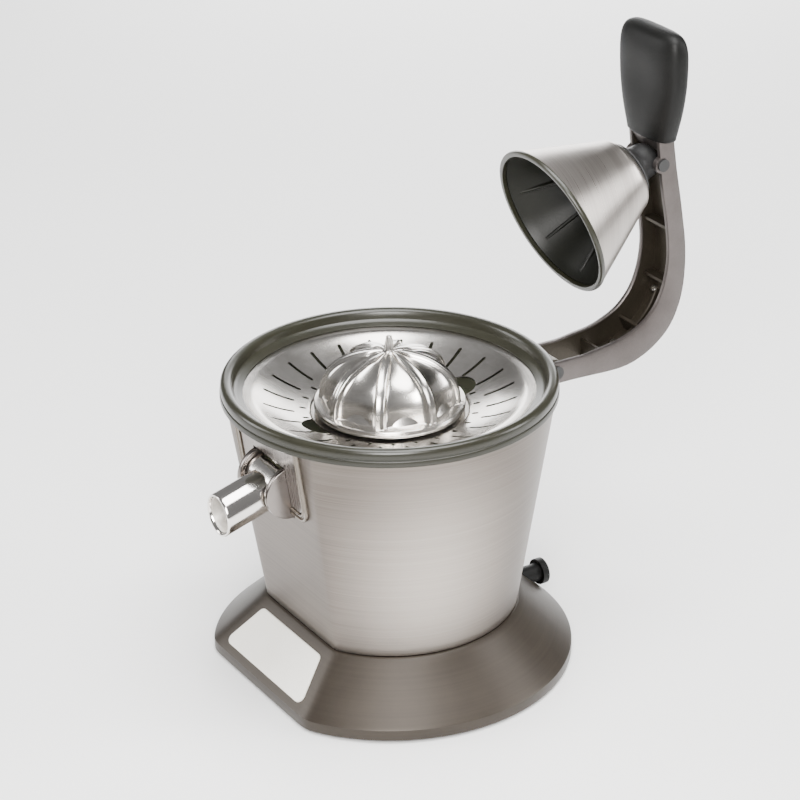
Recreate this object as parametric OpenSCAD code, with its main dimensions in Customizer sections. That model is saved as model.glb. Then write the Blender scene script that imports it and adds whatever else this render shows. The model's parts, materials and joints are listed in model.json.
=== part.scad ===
// Lever citrus press: electric juicer with a reamer, a hinged press cone and a tilting spout.
// Origin at the middle of the footprint on the table, +Z up, spout to -Y, lever hinge to +Y.

/* [Body] */
// outer radius of the dark top ring
ring_radius = 102.5; // [96:0.5:112]
// height of the ring's lip above the table
ring_top_z = 190; // [180:1:205]
// height of the ring's own wall
ring_height = 10.5; // [9:0.5:12]
// radius of the steel body where it meets the base
seam_radius = 78.3; // [72:0.5:84]
// height of that seam above the table
seam_z = 40; // [34:1:46]
// wall of the steel body
body_wall = 1.2; // [0.8:0.1:2]
// distance of the flat front face from the axis at the seam
seam_flat = 66.7; // [62:0.5:70]
// distance of the flat front face from the axis under the ring
top_flat = 86.8; // [84:0.2:90]

/* [Base] */
// foot radius of the flared base
base_radius = 112.5; // [106:0.5:122]
// height of the upright band at the foot
band_height = 9; // [6:0.5:12]
// distance of the base's flat face from the axis at the band
base_flat = 97.7; // [92:0.5:104]
// wall of the base moulding
base_wall = 3; // [2:0.5:4]
// height of the rubber feet
foot_height = 2; // [1.5:0.5:4]
// radius of one rubber foot
foot_radius = 9; // [7:0.5:11]
// width of the blank plate on the base, at its lower edge
badge_width = 92; // [70:1:98]

/* [Reamer] */
// radius of the reamer's flange
reamer_radius = 46; // [42:0.5:48]
// height of the reamer's point above the table
reamer_tip_z = 216; // [206:1:222]
// number of ribs on the reamer
rib_count = 8; // [6:1:12]
// thickness of one rib
rib_thickness = 3; // [1.8:0.1:3.6]
// radius of the drive shaft
shaft_radius = 4; // [3:0.5:5]
// radial running clearance of every shaft
running_clearance = 0.05; // [0.02:0.01:0.09]

/* [Strainer] */
// number of long slots
slot_count = 24; // [16:1:30]
// width of a slot
slot_width = 2.2; // [1.4:0.1:3]
// radius of the two half-round windows beside the reamer
window_radius = 11.5; // [8:0.5:13]
// sheet thickness of the strainer
strainer_sheet = 0.9; // [0.6:0.1:1.2]

/* [Spout] */
// outer radius of the spout tube
spout_radius = 13; // [11:0.5:14]
// length of the spout from its trunnion
spout_length = 45; // [38:1:52]
// downward slope of the spout
spout_slope = 16; // [8:1:22]

/* [Lever] */
// distance of the hinge pin behind the ring's edge
hinge_setback = 9.5; // [9:0.1:10.5]
// height of the hinge above the table
hinge_z = 168; // [160:1:172]
// outer width of the arm
arm_width = 32; // [28:1:38]
// thickness of the arm's cheeks
cheek_thickness = 3.5; // [2.5:0.5:5]
// radius of the hinge pin
hinge_pin_radius = 3; // [2.5:0.5:4]
// angle through which the lever closes
closing_angle = 84; // [82:1:86]
// width of the handle
handle_width = 58; // [46:1:64]
// length of the handle
handle_length = 70; // [58:1:84]
// thickness of the handle
handle_thickness = 22; // [17:1:26]

/* [Press cone] */
// outer radius of the cone at its mouth
cone_radius = 49; // [47:0.5:52]
// outer radius of the cone at its small end
cone_small_radius = 24; // [20:0.5:27]
// length of the cone
cone_length = 62; // [58:1:66]
// angle the cone hangs nose-down while the lever is up
cone_droop = 14; // [8:1:20]
// height of the mouth above the table when closed
closed_mouth_z = 180; // [178:1:184]
// wall of the cone's steel shell
cone_wall = 1; // [0.8:0.1:1.6]

/* [Drive] */
// gear module
gear_module = 1; // [0.9:0.05:1.1]
// radius of the motor can
motor_radius = 22; // [18:1:26]

/* [Part] */
// which sub-part to build

/* [Hidden] */
hinge_y = ring_radius + hinge_setback;
$fn = 64;
ring_bottom_z = ring_top_z - ring_height;
body_top_radius = ring_radius - 1.9;
body_height = ring_bottom_z - seam_z;
flat_angle = atan((top_flat - seam_flat) / body_height);
base_flat_angle = atan((base_flat - seam_flat) / (seam_z - band_height));
gap = 0.3;
sr = shaft_radius;
rc = running_clearance;
// height of the inlet collar
gland_z = 20;
// flange of the reamer and the seat of the strainer hang from the ring
flange_z = ring_top_z - 20.5;
flange_top = flange_z + 4.5;
post_reach = 65;
rim_z = ring_bottom_z + 1;
// gear train: teeth and centres
teeth_out = 56;
teeth_small = 14;
teeth_large = 48;
teeth_pinion = 12;
idler_y = gear_module * (teeth_out + teeth_small) / 2;
motor_reach = gear_module * (teeth_large + teeth_pinion) / 2;
motor_x = motor_reach * cos(202.5);
motor_y = idler_y + motor_reach * sin(202.5);
frame_z = 100;
gear_z = frame_z + 4;
cover_z = gear_z + 35;
bowl_z = cover_z + 6;
// spout trunnion
spout_z = 141;
spout_y = -(seam_flat + (top_flat - seam_flat) * (spout_z - seam_z) / body_height) + 1.3;
barrel_radius = spout_radius + 1;
// arm
half = arm_width / 2;
inner_half = half - cheek_thickness;
// cone: rest frame at the mouth, axis tilted so that closing brings it upright on the axis
mouth_dy = -hinge_y;
mouth_dz = closed_mouth_z - hinge_z;
mouth_y = hinge_y + mouth_dy * cos(closing_angle) + mouth_dz * sin(closing_angle);
mouth_z = hinge_z - mouth_dy * sin(closing_angle) + mouth_dz * cos(closing_angle);
pivot_reach = cone_length + 16;
pivot_dy = mouth_y - hinge_y + pivot_reach * sin(closing_angle);
pivot_dz = mouth_z - hinge_z + pivot_reach * cos(closing_angle);
// the arm and the handle follow the cone's pivot
arm_y = pivot_dy / 77.8;
arm_z = pivot_dz / 120.79;
grip_dy = 80.2 * arm_y;
grip_dz = 136.2 * arm_z;

// solid behind the body's flat face, moved inwards by an inset
module body_half(inset) {
  translate([0, -seam_flat, seam_z]) rotate([flat_angle, 0, 0])
    translate([-150, inset, -60]) cube([300, 300, 300]);
}
// solid behind the base's flat face
module base_half(inset) {
  translate([0, -base_flat, band_height]) rotate([-base_flat_angle, 0, 0])
    translate([-150, inset, -60]) cube([300, 300, 300]);
}
// box given by its low and high corners
module box(a, b) {
  translate(a) cube(b - a);
}
// rod along X, centred on x = 0
module rod_x(y, z, r, l) {
  translate([-l / 2, y, z]) rotate([0, 90, 0]) cylinder(h = l, r = r);
}
module body_cone(inset, z0, z1) {
  k = (body_top_radius - seam_radius) / body_height;
  translate([0, 0, z0])
    cylinder(h = z1 - z0, r1 = seam_radius + k * (z0 - seam_z) - inset,
      r2 = seam_radius + k * (z1 - seam_z) - inset, $fn = 128);
}

module base_skirt() {
  color([0.36, 0.33, 0.31]) difference() {
    intersection() {
      rotate_extrude($fn = 128) polygon([[seam_radius - 6, foot_height - 0.5],
        [base_radius, foot_height - 0.5], [base_radius, band_height],
        [seam_radius + 0.6, seam_z - 0.05], [seam_radius - 6, seam_z - 0.05]]);
      box([-150, -base_flat, 0], [150, 150, 60]);
      base_half(0);
    }
    intersection() {
      rotate_extrude($fn = 128) polygon([[0, -1], [base_radius - base_wall, -1],
        [base_radius - base_wall, band_height - 1], [seam_radius - 2.5, seam_z - base_wall],
        [0, seam_z - base_wall]]);
      box([-150, -base_flat + base_wall, -2], [150, 150, 60]);
      base_half(base_wall);
    }
    cylinder(h = 60, r = seam_flat - 9, $fn = 96);
    // way for the cord gland
    translate([0, base_radius - 20, gland_z]) rotate([-90, 0, 0]) cylinder(h = 40, r = 6.05);
  }
}

module base_plate() {
  color([0.14, 0.14, 0.15]) difference() {
    union() {
      intersection() {
        translate([0, 0, foot_height])
          cylinder(h = 3, r = base_radius - base_wall - gap, $fn = 128);
        box([-150, -base_flat + base_wall + gap, 0], [150, 150, 60]);
      }
      // centre pad, level with the feet
      cylinder(h = foot_height + 1, r = 15);
    }
    // cooling slots
    for (i = [-3:3]) box([i * 9 - 2, 18, 0], [i * 9 + 2, 58, 9]);
    for (a = [45:90:315]) rotate([0, 0, a]) translate([post_reach, 0, 0])
      cylinder(h = 9, r = 2.2);
  }
}

module rubber_feet() {
  color([0.06, 0.06, 0.06]) for (a = [45:90:315]) rotate([0, 0, a])
    translate([88, 0, 0]) cylinder(h = foot_height, r = foot_radius);
}

module base_screws() {
  color([0.6, 0.6, 0.62]) for (a = [45:90:315]) rotate([0, 0, a]) translate([post_reach, 0, 0]) {
    translate([0, 0, foot_height - 1.2]) cylinder(h = 1.2, r = 4);
    translate([0, 0, foot_height - 0.1]) cylinder(h = 14, r = 1.9);
  }
}

module badge_plate() {
  // blank plate lying on the flat face of the base
  a = badge_width / 2;
  color([0.93, 0.91, 0.86]) translate([0, -base_flat, band_height])
    rotate([-base_flat_angle, 0, 0]) translate([0, 0, 5]) rotate([90, 0, 0])
      linear_extrude(1.2) polygon([[-a, 3], [-a + 3, 0], [a - 3, 0], [a, 3],
        [a * 0.74 + 0.8, 28], [a * 0.74 - 3, 31], [-a * 0.74 + 3, 31], [-a * 0.74 - 0.8, 28]]);
}

module cord_gland() {
  // inlet collar at the back of the base, with a bore for the mains lead
  color([0.08, 0.08, 0.08]) translate([0, base_radius - 18, gland_z]) rotate([-90, 0, 0])
    difference() {
      union() {
        cylinder(h = 20, r = 6);
        translate([0, 0, 15.5]) cylinder(h = 4.5, r = 8.5);
      }
      translate([0, 0, -1]) cylinder(h = 30, r = 3.6);
    }
}

module body_shell() {
  color([0.72, 0.72, 0.71]) difference() {
    intersection() {
      body_cone(0, seam_z, ring_bottom_z);
      body_half(0);
    }
    intersection() {
      body_cone(body_wall, seam_z - 5, ring_bottom_z + 5);
      body_half(body_wall);
    }
    // opening for the spout housing
    box([-barrel_radius - 4.6, -130, spout_z - barrel_radius - 3.6],
      [barrel_radius + 4.6, -40, spout_z + barrel_radius + 3.6]);
  }
}

module inner_frame() {
  // plate that carries the drive, on four posts from the base plate
  color([0.2, 0.2, 0.21]) difference() {
    union() {
      intersection() {
        translate([0, 0, frame_z]) cylinder(h = 4, r = 84, $fn = 96);
        body_half(body_wall + 1);
        body_cone(body_wall + 0.6, frame_z - 2, frame_z + 8);
      }
      for (a = [45:90:315]) rotate([0, 0, a]) translate([post_reach, 0, foot_height + 3])
        cylinder(h = frame_z - foot_height - 3, r = 5.5);
    }
    for (a = [45:90:315]) rotate([0, 0, a]) translate([post_reach, 0, 0])
      cylinder(h = 20, r = 2.05);
    translate([0, 0, frame_z - 1]) cylinder(h = 6, r = sr + 4);
    translate([motor_x, motor_y, frame_z - 1]) cylinder(h = 6, r = 8);
  }
}

module motor_can() {
  color([0.55, 0.56, 0.58]) translate([motor_x, motor_y, 0]) difference() {
    translate([0, 0, frame_z - 46]) cylinder(h = 46, r = motor_radius);
    translate([0, 0, frame_z - 44]) cylinder(h = 40, r = motor_radius - 2);
    translate([0, 0, frame_z - 50]) cylinder(h = 60, r = 2.5 + rc);
  }
}

// plan of the gear case, grown or shrunk
module case_plan(z0, z1, grow) {
  translate([0, 0, z0]) cylinder(h = z1 - z0, r = gear_module * 28 + 1.9 + grow);
  translate([0, idler_y, z0]) cylinder(h = z1 - z0, r = gear_module * 24 + 1.9 + grow);
  translate([motor_x, motor_y, z0]) cylinder(h = z1 - z0, r = 9 + grow);
}

module gearbox_housing() {
  color([0.24, 0.25, 0.27]) difference() {
    union() {
      case_plan(gear_z, cover_z, 2.5);
      for (p = [[34, -6], [-34, -6], [31, 42], [-31, 42]])
        translate([p[0], p[1], gear_z]) cylinder(h = cover_z - gear_z, r = 4.5);
    }
    case_plan(gear_z + 3, cover_z + 1, 0);
    translate([0, 0, gear_z - 1]) cylinder(h = 6, r = sr + 3);
    translate([0, idler_y, gear_z + 1]) cylinder(h = 6, r = 3 + rc);
    translate([motor_x, motor_y, gear_z - 1]) cylinder(h = 6, r = 4);
    for (p = [[34, -6], [-34, -6], [31, 42], [-31, 42]])
      translate([p[0], p[1], cover_z - 14]) cylinder(h = 20, r = 1.55);
  }
}

module gearbox_cover() {
  color([0.24, 0.25, 0.27]) difference() {
    union() {
      case_plan(cover_z, cover_z + 3, 2.5);
      for (p = [[34, -6], [-34, -6], [31, 42], [-31, 42]])
        translate([p[0], p[1], cover_z]) cylinder(h = 3, r = 4.5);
    }
    translate([0, 0, cover_z - 1]) cylinder(h = 6, r = sr + 3);
    translate([0, idler_y, cover_z - 1]) cylinder(h = 6, r = 3 + rc);
    for (p = [[34, -6], [-34, -6], [31, 42], [-31, 42]])
      translate([p[0], p[1], cover_z - 1]) cylinder(h = 6, r = 1.55);
  }
}

module gearbox_screws() {
  color([0.6, 0.6, 0.62]) for (p = [[34, -6], [-34, -6], [31, 42], [-31, 42]])
    translate([p[0], p[1], 0]) {
      translate([0, 0, cover_z + 3]) cylinder(h = 1.8, r = 3);
      translate([0, 0, cover_z - 12]) cylinder(h = 15.5, r = 1.5);
    }
}

module idler_pin() {
  color([0.65, 0.66, 0.68]) translate([0, idler_y, gear_z + 1])
    cylinder(h = cover_z - gear_z + 2, r = 3);
}

module bush(z) {
  color([0.7, 0.52, 0.3]) translate([0, 0, z]) difference() {
    cylinder(h = 3, r = sr + 3 - 0.05);
    translate([0, 0, -1]) cylinder(h = 6, r = sr + rc);
  }
}
module lower_bush() { bush(gear_z); }
module upper_bush() { bush(cover_z); }

module start_switch() {
  // switch under the end of the shaft, hung from the frame
  color([0.12, 0.12, 0.13]) difference() {
    union() {
      box([-10, -6, frame_z - 22], [10, 6, frame_z - 9]);
      box([-13, -6, frame_z - 22], [-10, 6, frame_z]);
      box([10, -6, frame_z - 22], [13, 6, frame_z]);
    }
    translate([0, 0, frame_z - 18]) cylinder(h = 12, r = 2.5 + rc);
  }
}

module start_plunger() {
  color([0.75, 0.2, 0.15]) translate([0, 0, frame_z - 15.5]) {
    cylinder(h = 10.3, r = 2.5);
    translate([0, 0, 10.3]) cylinder(h = 1.5, r1 = 2.5, r2 = 1.4);
  }
}

module juice_bowl() {
  color([0.1, 0.1, 0.1]) difference() {
    union() {
      difference() {
        intersection() {
          translate([0, 0, bowl_z])
            cylinder(h = ring_bottom_z - bowl_z, r1 = 86, r2 = 94, $fn = 96);
          body_half(body_wall + 1);
          body_cone(body_wall + 1, bowl_z - 2, ring_bottom_z + 5);
        }
        intersection() {
          translate([0, 0, bowl_z + 2]) cylinder(h = 60, r1 = 84.4, r2 = 96, $fn = 96);
          body_half(body_wall + 2.8);
          body_cone(body_wall + 2.8, bowl_z + 2, ring_bottom_z + 5);
        }
      }
      // chimney round the shaft
      translate([0, 0, bowl_z]) cylinder(h = flange_z - 5.5 - bowl_z, r = sr + 7);
      // well that feeds the spout
      box([-barrel_radius - 3, spout_y + barrel_radius + 3.1, spout_z - barrel_radius - 3],
        [barrel_radius + 3, spout_y + barrel_radius + 26, bowl_z + 1]);
    }
    box([-barrel_radius - 1, spout_y + barrel_radius + 5.1, spout_z - barrel_radius - 1],
      [barrel_radius + 1, spout_y + barrel_radius + 24, bowl_z + 3]);
    translate([0, spout_y + barrel_radius - 2, spout_z]) rotate([-90, 0, 0]) cylinder(h = 9, r = 9);
    // space for the housing of the spout
    box([-barrel_radius - 4.4, spout_y - 30, spout_z - barrel_radius - 5],
      [barrel_radius + 4.4, spout_y + barrel_radius + 3.05, spout_z + barrel_radius + 4]);
    translate([0, 0, bowl_z - 1]) cylinder(h = 60, r = sr + 1.5);
    translate([0, 0, flange_z - 9.5]) cylinder(h = 20, r = sr + 4.05);
  }
}

module shaft_seal() {
  color([0.55, 0.12, 0.08]) translate([0, 0, flange_z - 9.5]) difference() {
    cylinder(h = 4, r = sr + 4);
    translate([0, 0, -1]) cylinder(h = 6, r = sr + rc);
  }
}

module top_ring() {
  r = ring_radius;
  b = ring_bottom_z;
  t = ring_top_z;
  color([0.1, 0.1, 0.09]) rotate_extrude($fn = 128) polygon([[84.5, b], [r, b], [r, b + 2],
    [r - 0.7, t - 2], [r - 1.4, t - 0.7], [r - 3, t], [r - 5.5, t], [r - 7, t - 0.8],
    [r - 7.8, t - 2.4], [r - 8.4, b + 4.2], [88.5, b + 2.7], [88.5, b + 1.95],
    [93.5, b + 1.95], [93.5, b + 1], [84.5, b + 1]]);
}

module strainer() {
  z = rim_z;
  s = strainer_sheet;
  p = [[93.4, z], [84.5, z], [82, z - 0.7], [76, z - 3.7], [66, z - 8.1], [56, z - 11.2],
    [reamer_radius + 2.4, z - 12.8], [reamer_radius + 1.5, z - 13.9], [14, z - 13.9]];
  color([0.86, 0.86, 0.85]) difference() {
    rotate_extrude($fn = 128) polygon(concat(p, [for (i = [len(p) - 1:-1:0])
      [p[i][0], p[i][1] + s]]));
    for (i = [0:slot_count - 1]) rotate([0, 0, (i + 0.5) * 360 / slot_count])
      box([58, -slot_width / 2, 140], [77, slot_width / 2, 200]);
    for (i = [0:slot_count - 1]) rotate([0, 0, i * 360 / slot_count])
      box([reamer_radius + 4, -slot_width / 2, 140],
        [reamer_radius + 8.5, slot_width / 2, 200]);
    for (i = [0:7]) rotate([0, 0, i * 45]) box([20, -3, 140], [38, 3, z - 8]);
    // two half-round windows beside the reamer
    for (k = [-1, 1]) intersection() {
      translate([0, k * (reamer_radius + 2.6), 140]) cylinder(h = 60, r = window_radius);
      difference() {
        translate([0, 0, 141]) cylinder(h = 58, r = 80);
        translate([0, 0, 140]) cylinder(h = 60, r = reamer_radius + 2.6);
      }
    }
  }
}

module hinge_bracket() {
  color([0.35, 0.35, 0.34]) difference() {
    union() {
      rod_x(hinge_y, hinge_z, 7.5, 2 * inner_half - 1);
      box([-inner_half + 0.5, ring_radius - 12.5, hinge_z - 7.5], [inner_half - 0.5, hinge_y, hinge_z + 7.5]);
      box([-20, ring_radius - 12.5, ring_bottom_z - 33], [20, hinge_y - 8.6, ring_bottom_z - 0.1]);
    }
    body_cone(-0.05, seam_z + 60, ring_bottom_z + 10);
    rod_x(hinge_y, hinge_z, hinge_pin_radius + rc, 60);
    for (x = [-13, 13]) translate([x, 80, ring_bottom_z - 27]) rotate([-90, 0, 0])
      cylinder(h = 40, r = 2.1);
  }
}

module bracket_screws() {
  color([0.6, 0.6, 0.62]) for (x = [-13, 13])
    translate([x, hinge_y - 8.6, ring_bottom_z - 27]) rotate([-90, 0, 0]) {
      cylinder(h = 1.6, r = 4);
      translate([0, 0, -4]) cylinder(h = 4.5, r = 2.05);
    }
}

// frame in the plane of the body's flat face: Y outwards, Z up the slope
module on_flat(rise) {
  translate([0, -seam_flat, seam_z]) rotate([flat_angle, 0, 0]) translate([0, 0, rise])
    rotate([90, 0, 0]) children();
}

// rounded plate of the spout panel, drawn with its top edge at the ring
module panel_plan(w, h, r, t) {
  linear_extrude(t) union() {
    translate([-w, -h + r]) square([2 * w, h - r]);
    translate([-w + r, -h]) square([2 * w - 2 * r, h]);
    for (s = [-1, 1]) translate([s * (w - r), -h + r]) circle(r = r, $fn = 32);
  }
}

module spout_frame() {
  top = body_height / cos(flat_angle) - 0.3;
  color([0.16, 0.14, 0.12]) difference() {
    on_flat(top) panel_plan(38, 52, 8, 2.4);
    on_flat(top - 3) translate([0, 0, -1]) panel_plan(33, 44.5, 6, 5);
    box([-barrel_radius - 4.6, -130, spout_z - barrel_radius - 3.6],
      [barrel_radius + 4.6, -40, spout_z + barrel_radius + 3.6]);
  }
}

module spout_panel() {
  top = body_height / cos(flat_angle) - 0.3;
  color([0.6, 0.6, 0.58]) difference() {
    on_flat(top - 3.05) panel_plan(32.95, 44.4, 6, 1.1);
    box([-barrel_radius - 4.6, -130, spout_z - barrel_radius - 3.6],
      [barrel_radius + 4.6, -40, spout_z + barrel_radius + 3.6]);
  }
}

module spout_housing() {
  color([0.12, 0.11, 0.1]) difference() {
    union() {
      rod_x(spout_y, spout_z, barrel_radius + 3, 2 * barrel_radius + 8.6);
      box([-barrel_radius - 4.3, spout_y, spout_z - barrel_radius - 3],
        [barrel_radius + 4.3, spout_y + barrel_radius + 3, spout_z + barrel_radius + 3]);
    }
    rod_x(spout_y, spout_z, barrel_radius + gap, 2 * barrel_radius + 2 * gap);
    box([-barrel_radius - gap, spout_y - 40, spout_z - 40],
      [barrel_radius + gap, spout_y, spout_z + 40]);
    rod_x(spout_y, spout_z, 2.5 + rc, 80);
    translate([0, spout_y + 2, spout_z]) rotate([-90, 0, 0]) cylinder(h = barrel_radius + 6, r = 9);
  }
}

module spout() {
  color([0.85, 0.85, 0.86]) difference() {
    union() {
      rod_x(spout_y, spout_z, barrel_radius, 2 * barrel_radius);
      rod_x(spout_y, spout_z, 2.5, 36);
      translate([0, spout_y, spout_z]) rotate([90 + spout_slope, 0, 0])
        cylinder(h = spout_length, r = spout_radius);
    }
    translate([0, spout_y, spout_z]) rotate([90 + spout_slope, 0, 0])
      cylinder(h = spout_length + 20, r = spout_radius - 2.2);
    translate([0, spout_y, spout_z]) rotate([-90, 0, 0]) cylinder(h = 30, r = 8.5);
    // slanted mouth
    translate([0, spout_y, spout_z]) rotate([90 + spout_slope, 0, 0])
      translate([0, 0, spout_length]) rotate([-14, 0, 0]) box([-40, -40, -2.5], [40, 40, 40]);
  }
}

// outline of the reamer from tip to flange, moved inwards by s and down by d
function reamer_line(s, d) = [[0, reamer_tip_z], [1.7, reamer_tip_z],
  [3.5, reamer_tip_z - 9.5 - d], [10 - s, reamer_tip_z - 9.7 - d],
  [16 - s, reamer_tip_z - 10.7 - d], [23 - s, reamer_tip_z - 12.9 - d],
  [29.5 - s, reamer_tip_z - 16 - d], [35 - s, reamer_tip_z - 20.2 - d],
  [39 - s, reamer_tip_z - 25.2 - d], [41.5 - s, reamer_tip_z - 30.7 - d],
  [reamer_radius - 3.2 - s, reamer_tip_z - 36.6 - d], [reamer_radius - 2.8 - s, flange_top]];

module reamer() {
  f = flange_z;
  color([0.8, 0.8, 0.8]) difference() {
    union() {
      rotate_extrude($fn = 96) polygon(concat(reamer_line(2.2, 2),
        [[reamer_radius, flange_top], [reamer_radius, f], [0, f]]));
      for (i = [0:rib_count - 1]) rotate([90, 0, i * 360 / rib_count + 5])
        translate([0, 0, -rib_thickness / 2]) linear_extrude(rib_thickness)
          polygon(concat(reamer_line(0, 0), [[38, flange_top - 1], [0, f + 28]]));
    }
    rotate_extrude($fn = 64) polygon([[0, f - 1], [reamer_radius - 6, f - 1],
      [reamer_radius - 8, f + 6], [35, f + 14], [29, f + 22], [16, f + 27.5], [0, f + 27.5]]);
  }
}

module reamer_hub() {
  color([0.15, 0.15, 0.15]) difference() {
    translate([0, 0, flange_z + 0.5]) cylinder(h = 27, r = sr + 4);
    translate([0, 0, flange_z - 1]) cylinder(h = 24.6, r = sr + 0.02);
  }
}

module drive_shaft() {
  color([0.65, 0.66, 0.68]) translate([0, 0, frame_z - 2])
    cylinder(h = flange_z + 23.5 - frame_z + 2, r = sr);
}

// involute gear outline; teeth are thinned a little for backlash
function inv(a) = tan(a) * 180 / PI - a;
function half_tooth(n, m, r) = 90 / n - 2.0 / n
  + inv(20) - inv(acos(min(1, m * n / 2 * cos(20) / r)));
module gear(n, m, h, bore) {
  rp = m * n / 2;
  rr = rp - 1.15 * m;
  rt = rp + 0.8 * m;
  rs = [rr, max(rr + 0.05, rp * cos(20)), rp - 0.3 * m, rp + 0.3 * m, rt];
  difference() {
    linear_extrude(h) polygon([for (i = [0:n - 1]) for (k = [0:9])
      let (j = k < 5 ? k : 9 - k, s = k < 5 ? -1 : 1, a = i * 360 / n
        + s * half_tooth(n, m, rs[j])) [rs[j] * cos(a), rs[j] * sin(a)]]);
    translate([0, 0, -1]) cylinder(h = h + 2, r = bore);
  }
}

module output_gear() {
  color([0.85, 0.83, 0.76]) translate([0, 0, gear_z + 20])
    gear(teeth_out, gear_module, 10, sr + 0.02);
}

module idler_gear() {
  color([0.85, 0.83, 0.76]) translate([0, idler_y, 0]) {
    translate([0, 0, gear_z + 6]) gear(teeth_large, gear_module, 8, 3 + rc);
    translate([0, 0, gear_z + 14]) gear(teeth_small, gear_module, 18, 3 + rc);
  }
}

module motor_rotor() {
  color([0.5, 0.35, 0.2]) translate([motor_x, motor_y, 0]) {
    translate([0, 0, frame_z - 38]) cylinder(h = 28, r = 14);
    translate([0, 0, frame_z - 45.5]) cylinder(h = 62, r = 2.5);
  }
}

module motor_pinion() {
  color([0.75, 0.6, 0.3]) translate([motor_x, motor_y, gear_z + 4.5]) rotate([0, 0, 7.5])
    gear(teeth_pinion, gear_module, 11, 2.52);
}

// arm outline relative to the hinge: outer and inner edge, point by point
arm_out = [[0, -8], [12, -8.2], [26, -8.9], [38.2, -9.6], [50.4, -9.6], [61.7, -7.5],
  [74.7, -1.5], [86, 8], [93, 20], [96.9, 34], [98.2, 50], [97.5, 66], [95.1, 82],
  [92.4, 98], [89.4, 114], [86.9, 130], [86.1, 136]];
arm_in = [[0, 6.6], [12, 6.4], [22, 6.3], [33, 7.6], [45.1, 9], [55.6, 12],
  [66.9, 17.5], [75.6, 26], [80.8, 36], [83.8, 47.5], [84.8, 60], [83.7, 73],
  [81.8, 86], [79.4, 99], [77.1, 113], [75, 130], [74.3, 136]];
// Catmull-Rom point on a polyline
function spline(p, i, t) = let (a = p[max(i - 1, 0)], b = p[i], c = p[i + 1],
  d = p[min(i + 2, len(p) - 1)])
  0.5 * (2 * b + (c - a) * t + (2 * a - 5 * b + 4 * c - d) * t * t
    + (3 * b - a - 3 * c + d) * t * t * t);
function smooth(p) = [for (i = [0:len(p) - 2]) for (t = [0, 1 / 3, 2 / 3]) spline(p, i, t),
  p[len(p) - 1]];
function fitted(p) = [for (q = p) [q[0] * arm_y, q[1] > 0 ? q[1] * arm_z : q[1]]];
function back(p) = [for (i = [len(p) - 1:-1:0]) p[i]];

// plate in the plane of the lever, between two X positions
module side_plate(x0, x1, pts) {
  translate([x0, hinge_y, hinge_z]) rotate([90, 0, 90]) linear_extrude(x1 - x0) polygon(pts);
}

module lever_arm() {
  so = smooth(fitted(arm_out));
  si = smooth(fitted(arm_in));
  web = [for (i = [0:len(so) - 1]) so[i] + (si[i] - so[i]) * 0.21];
  tail = [for (i = [4:len(so) - 1]) so[i]];
  tail_in = [for (i = [4:len(so) - 1]) web[i]];
  color([0.62, 0.62, 0.61]) difference() {
    union() {
      for (s = [-1, 1]) {
        side_plate(s > 0 ? inner_half : -half, s > 0 ? half : -inner_half,
          concat(so, back(si)));
        translate([s * (inner_half + cheek_thickness / 2), 0, 0])
          rod_x(hinge_y, hinge_z, 8, cheek_thickness);
        // ear round the cone's pin
        translate([s * (inner_half + cheek_thickness / 2), hinge_y, hinge_z])
          rod_x(pivot_dy, pivot_dz, 5.5, cheek_thickness);
      }
      side_plate(-half, half, concat(tail, back(tail_in)));
      // closed neck and tang for the handle
      side_plate(-half, half, fitted([[78.3, 128], [87.2, 128], [86.1, 136], [74.3, 136]]));
      side_plate(-9, 9, [[grip_dy - 2.5, grip_dz - 1.2], [grip_dy + 2.5, grip_dz - 1.2],
        [grip_dy + 2.5, grip_dz + 43.8], [grip_dy - 2.5, grip_dz + 43.8]]);
      // cross ribs in the channel
      side_plate(-half, half, fitted([[38.3, -9.4], [40.2, -9.4], [40.2, 3], [38.3, 3]]));
      side_plate(-half, half, fitted([[73, -1], [74.7, 0.1], [69.5, 12], [67.8, 11]]));
      side_plate(-half, half, fitted([[86.9, 36], [96.2, 36], [96.2, 38], [86.9, 38]]));
      side_plate(-half, half, fitted([[86, 74], [94.5, 74], [94.5, 76], [86, 76]]));
    }
    rod_x(hinge_y, hinge_z, hinge_pin_radius + 0.02, 90);
    translate([0, hinge_y, hinge_z]) rod_x(pivot_dy, pivot_dz, 2.52, 90);
  }
}

module hinge_pin() {
  color([0.3, 0.3, 0.3]) {
    rod_x(hinge_y, hinge_z, hinge_pin_radius, arm_width);
    for (s = [-1, 1]) translate([s * (half + 0.6), 0, 0]) rod_x(hinge_y, hinge_z, 4.6, 1.2);
  }
}

module cone_pin() {
  color([0.3, 0.3, 0.3]) translate([0, hinge_y, hinge_z]) {
    rod_x(pivot_dy, pivot_dz, 2.5, arm_width);
    for (s = [-1, 1]) translate([s * (half + 0.6), 0, 0]) rod_x(pivot_dy, pivot_dz, 4, 1.2);
  }
}

module handle_grip() {
  w = handle_width / 2;
  t = handle_thickness / 2;
  color([0.05, 0.05, 0.05]) translate([0, hinge_y + grip_dy, hinge_z + grip_dz]) difference() {
    hull() {
      for (s = [-1, 1]) {
        translate([s * (w - 16.5), 0, 6]) scale([1, 1, 0.75]) sphere(r = 8, $fn = 32);
        translate([s * (w - t), 0, handle_length * 0.55]) sphere(r = t, $fn = 32);
        translate([s * (w - t - 2), 0, handle_length - t]) sphere(r = t, $fn = 32);
      }
    }
    box([-9.1, -2.6, -5], [9.1, 2.6, 44]);
    box([-60, -60, -20], [60, 60, 0]);
    for (z = [14, 34]) translate([0, 0, z]) rotate([-90, 0, 0]) cylinder(h = 20, r = 1.9);
  }
}

module handle_screws() {
  color([0.3, 0.3, 0.3]) translate([0, hinge_y + grip_dy, hinge_z + grip_dz]) for (z = [14, 34])
    translate([0, 2.7, z]) rotate([-90, 0, 0]) cylinder(h = 5.5, r = 1.85);
}

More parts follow.
